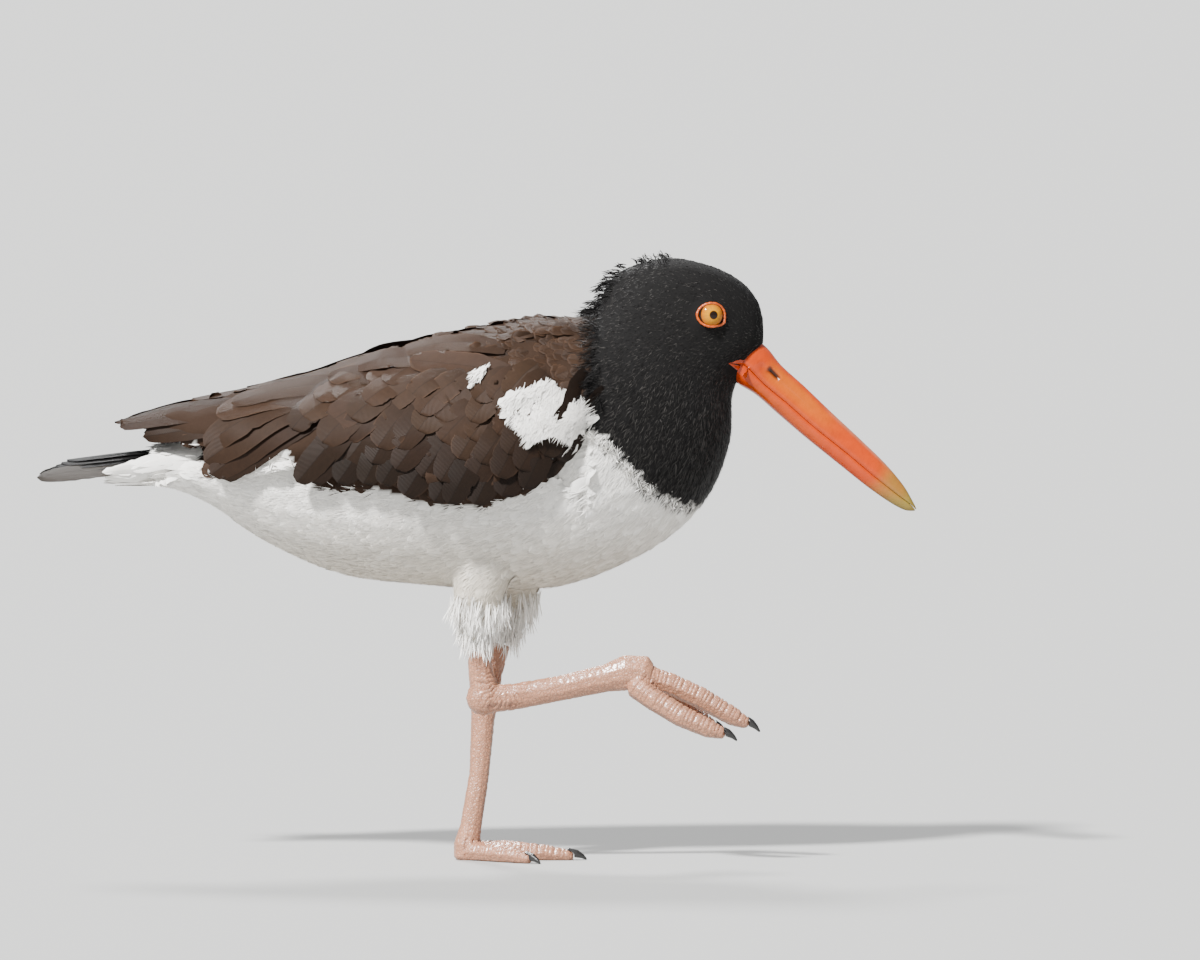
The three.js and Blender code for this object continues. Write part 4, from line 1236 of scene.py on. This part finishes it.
def eye(side, name):
    """An eyeball from its pole to behind its rim, coloured by the distance from the pole."""
    centre, out, up, ahead = eye_axes(side)
    rows, columns = 90, 72
    polar = np.linspace(0.004, 1.9, rows)[:, None]
    turn = np.linspace(0, 2 * math.pi, columns, endpoint=False)[None]
    rim = np.sin(polar)[..., None] * (np.cos(turn)[..., None] * ahead + np.sin(turn)[..., None] * up)
    points = centre + EYE_RADIUS * (np.cos(polar)[..., None] * out + rim)
    across = EYE_RADIUS * np.sin(np.minimum(polar, math.pi / 2)) + 0 * turn
    from_pupil = np.hypot(across * np.cos(turn) - PUPIL_OFF[0], across * np.sin(turn) - PUPIL_OFF[1])
    pupil = 1 - smooth_step(PUPIL_RADIUS - 0.12, PUPIL_RADIUS + 0.12, from_pupil)
    dark = smooth_step(IRIS_RADIUS - 0.15, IRIS_RADIUS + 0.25, across)
    streak = 0.5 + 0.5 * np.sin(turn * 23 + 3 * np.sin(turn * 5))
    tone = 0.88 + 0.2 * streak * smooth_step(1.5, 2.2, across) + 0.1 * (across < 2.4)
    colour = blend(IRIS, IRIS_RIM, smooth_step(2.6, IRIS_RADIUS, across)[..., None]) * tone[..., None]
    colour = colour * ((1 - pupil) * (1 - dark))[..., None] + PUPIL * np.maximum(pupil, dark)[..., None]
    made = piece(name, points, grid_quads(rows, columns, closed=True), EYE_SURFACE, colour)
    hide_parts(name.replace("ball", ""))


def round_bell(turn, middle, width):
    """A bell over an angle, round a full turn."""
    return bell(np.angle(np.exp(1j * (turn - middle))), width)


def eye_ring(side, name):
    """The fleshy ring round the eye, pointed at its lower front corner."""
    centre, out, up, ahead = eye_axes(side)
    rows, columns = 128, 14
    turn = np.linspace(0, 2 * math.pi, rows, endpoint=False)[:, None]
    corner, back = round_bell(turn, RING_POINT, 0.32), round_bell(turn, math.pi, 0.5)
    lumps = 1 + 0.1 * np.sin(turn * 17 + 2 * np.sin(turn * 3)) + 0.06 * np.sin(turn * 41)
    thick = RING_THICK * lumps * (1 + 0.3 * corner)
    ahead_by = (RING_HALF_LONG + 0.8 * corner + 0.2 * back) * np.cos(turn)
    up_by = (RING_HALF_HIGH + 0.7 * corner) * np.sin(turn)
    distance = np.hypot(ahead_by, up_by)
    level = np.sqrt(EYE_RADIUS**2 - np.minimum(distance, RING_SEAT) ** 2) + 0.15
    level = level - 0.25 * (distance - RING_SEAT)
    middle = centre + ahead_by * ahead + up_by * up + level * out
    radial = np.cos(turn) * ahead + np.sin(turn) * up
    section = np.linspace(0, 2 * math.pi, columns, endpoint=False)[None]
    around = np.cos(section)[..., None] * radial[:, None] + np.sin(section)[..., None] * out
    points = middle[:, None] + thick[..., None] * around
    # Painted shade: the ring lighter on its outer face and where it is thicker, darker on its side towards the
    # eye.
    shade = 0.75 + 0.35 * np.sin(section) + 0.15 * lumps - 0.3 * (np.cos(section) < -0.5)
    colour = RING * np.maximum(shade, 0.25)[..., None]
    quads = grid_quads(rows + 1, columns, closed=True) % (rows * columns)
    piece(name, points, quads, RING_FLESH, colour)


for side, name in ((-1, "right"), (1, "left")):
    eye(side, "eyeball_" + name)
    eye_ring(side, "eye_ring_" + name)


# Legs

LEG_PINK = np.array([0.37, 0.172, 0.1])
# Colour of the painted shade in the leg's grooves and folds
LEG_PAINTED_GROOVE_SHADE = np.array([0.24, 0.09, 0.05])
CLAW = np.array([0.011, 0.01, 0.0095])
TOES = ("inner", "middle", "outer")
# The toes' middle lines, on which the scutes are counted off
LIFTED_TOES = [
    [[68.0, -16, 74.5], [78, -15.5, 71.5], [90, -15.5, 66], [103, -15.5, 58.5], [109, -15.5, 55.5]],
    [[64.0, -19, 71], [71, -23, 66], [82, -25, 59.5], [93, -25.5, 54.5], [99, -25.5, 52.5]],
    [[67.0, -12, 72], [74, -8.5, 67.5], [82, -6.5, 61.5], [90, -6, 56.5], [95, -6, 54]],
]
STANDING_ROOT = (-3.8, 2.2)
STANDING_HEIGHTS = (3.6, 3.4, 3.3, 2.8, 1.7)
# Bearing in degrees and length of each toe
STANDING_TOES = ((-3, 41), (31, 33), (-39, 31))
SCUTE = 2.15
TOE_REACH = 6.2
LEG_VOXEL, CLAW_VOXEL, CLAW_GROWN = 0.42, 0.3, 0.1
# The bend of each ankle, and how fast the wave of its folds of skin runs round it
ANKLES = {"right": (11.0, 72.0), "left": (8.5, 69.0)}
FOLDS = 11.0


def standing_toes():
    lines = []
    for bearing, length in STANDING_TOES:
        reach = np.linspace(1, 1 + length, len(STANDING_HEIGHTS))
        x = STANDING_ROOT[0] + reach * math.cos(math.radians(bearing))
        y = STANDING_ROOT[1] + reach * math.sin(math.radians(bearing))
        lines.append(np.stack([x, y, STANDING_HEIGHTS], axis=1))
    return lines


def leg(name, toes):
    """A leg as one skin, with scutes over its toes and folds at its ankle, and a claw on each toe."""
    names = ["shank_" + name, "tarsus_" + name] + ["toe_" + toe + "_" + name for toe in TOES]
    points, quads = merged_nodes(names, BRIDGE, LEG_VOXEL, 6, BRIDGE)
    normals = point_normals(points, quads)
    groove = np.zeros(len(points))
    for line in toes:
        far, off, _ = along_line(points, np.array(line))
        on_toe = (np.linalg.norm(off, axis=1) < TOE_REACH) & (far > 0.5)
        ring = np.abs(np.sin(math.pi * (far + 0.5 * np.sin(far)) / SCUTE))
        dent = (1 - ring) ** 3 * smooth_step(-0.35, 0.35, normals[:, 2] + 0.25)
        groove = np.where(on_toe, np.maximum(groove, dent), groove)
    x, z = (points[:, [0, 2]] - ANKLES[name]).T
    turn = np.arctan2(z, x) + 0.25 * noise_at(points, 0.3, 4)
    folds = (1 - np.abs(np.sin(turn * FOLDS))) ** 2 * (1 - smooth_step(9, 15, np.hypot(x, z)))
    groove = np.maximum(groove, 0.8 * folds)
    grain = noise_at(points, 0.9, 3)
    points = points + normals * (0.2 - 0.6 * groove + 0.14 * grain)[:, None]
    # Painted shade: the skin darker in the scutes' grooves and the ankle's folds.
    colour = blend(LEG_PINK, LEG_PAINTED_GROOVE_SHADE, 0.6 * groove[:, None])
    colour = colour * (1 + 0.12 * noise_at(points, 0.3, 8) + 0.12 * grain)[:, None]
    made = piece("leg_" + name, points, quads, LEG_SKIN, colour)
    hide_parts(*names)
    for toe in TOES:
        claw_name = "claw_" + toe + "_" + name
        points, quads = merged_nodes([claw_name], CLAW_GROWN, CLAW_VOXEL, 3, 0.0)
        colour = CLAW * (0.8 + 0.4 * noise_at(points, 0.8, 2))[:, None]
        claw = piece(claw_name + "_horn", points, quads, CLAW_HORN, colour)
        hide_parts(claw_name)


leg("right", LIFTED_TOES)
leg("left", standing_toes())


# Floor, light and camera

FLOOR_REACH = 120.0
FLOOR_GREY = (0.35, 0.35, 0.342, 1)
SKY = (0.93, 0.96, 1.0, 1)
SKY_STRENGTH = 0.5
# Name, strength, how wide the sun looks, and its turn, in degrees
SUNS = (("key", 13, 6, (44, 0, -36)), ("rim", 3.5, 12, (-44, 0, 12)))
CAMERA_AWAY = 6.0
VIEW_WIDTH = 0.48
VIEW_MIDDLE = (49.6, 152.4)


def stage():
    material, _, _ = shader("floor", Roughness=0.75, Base_Color=FLOOR_GREY)
    mesh = bpy.data.meshes.new("floor")
    square = [(x * FLOOR_REACH, y * FLOOR_REACH, 0) for x, y in ((-1, -1), (1, -1), (1, 1), (-1, 1))]
    mesh.from_pydata(square, [], [(0, 1, 2, 3)])
    mesh.materials.append(material)
    placed("floor", mesh)
    world = bpy.data.worlds.new("studio")
    world.use_nodes = True
    world.node_tree.nodes["Background"].inputs["Color"].default_value = SKY
    world.node_tree.nodes["Background"].inputs["Strength"].default_value = SKY_STRENGTH
    bpy.context.scene.world = world
    for name, strength, width_deg, turn in SUNS:
        light = bpy.data.lights.new(name, "SUN")
        light.energy = strength
        light.angle = math.radians(width_deg)
        placed(name, light).rotation_euler = [math.radians(a) for a in turn]


def camera():
    data = bpy.data.cameras.new("camera")
    data.sensor_width = 36
    data.lens = data.sensor_width * CAMERA_AWAY / VIEW_WIDTH
    data.clip_end = 400
    holder = placed("camera", data)
    tilt = math.radians(CAMERA_ABOVE_DEG)
    x, _, z = to_metres((VIEW_MIDDLE[0], 0, VIEW_MIDDLE[1]))
    holder.location = (x, -CAMERA_AWAY * math.cos(tilt), z + CAMERA_AWAY * math.sin(tilt))
    holder.rotation_euler = (math.pi / 2 - tilt, 0, 0)
    bpy.context.scene.camera = holder


stage()
camera()
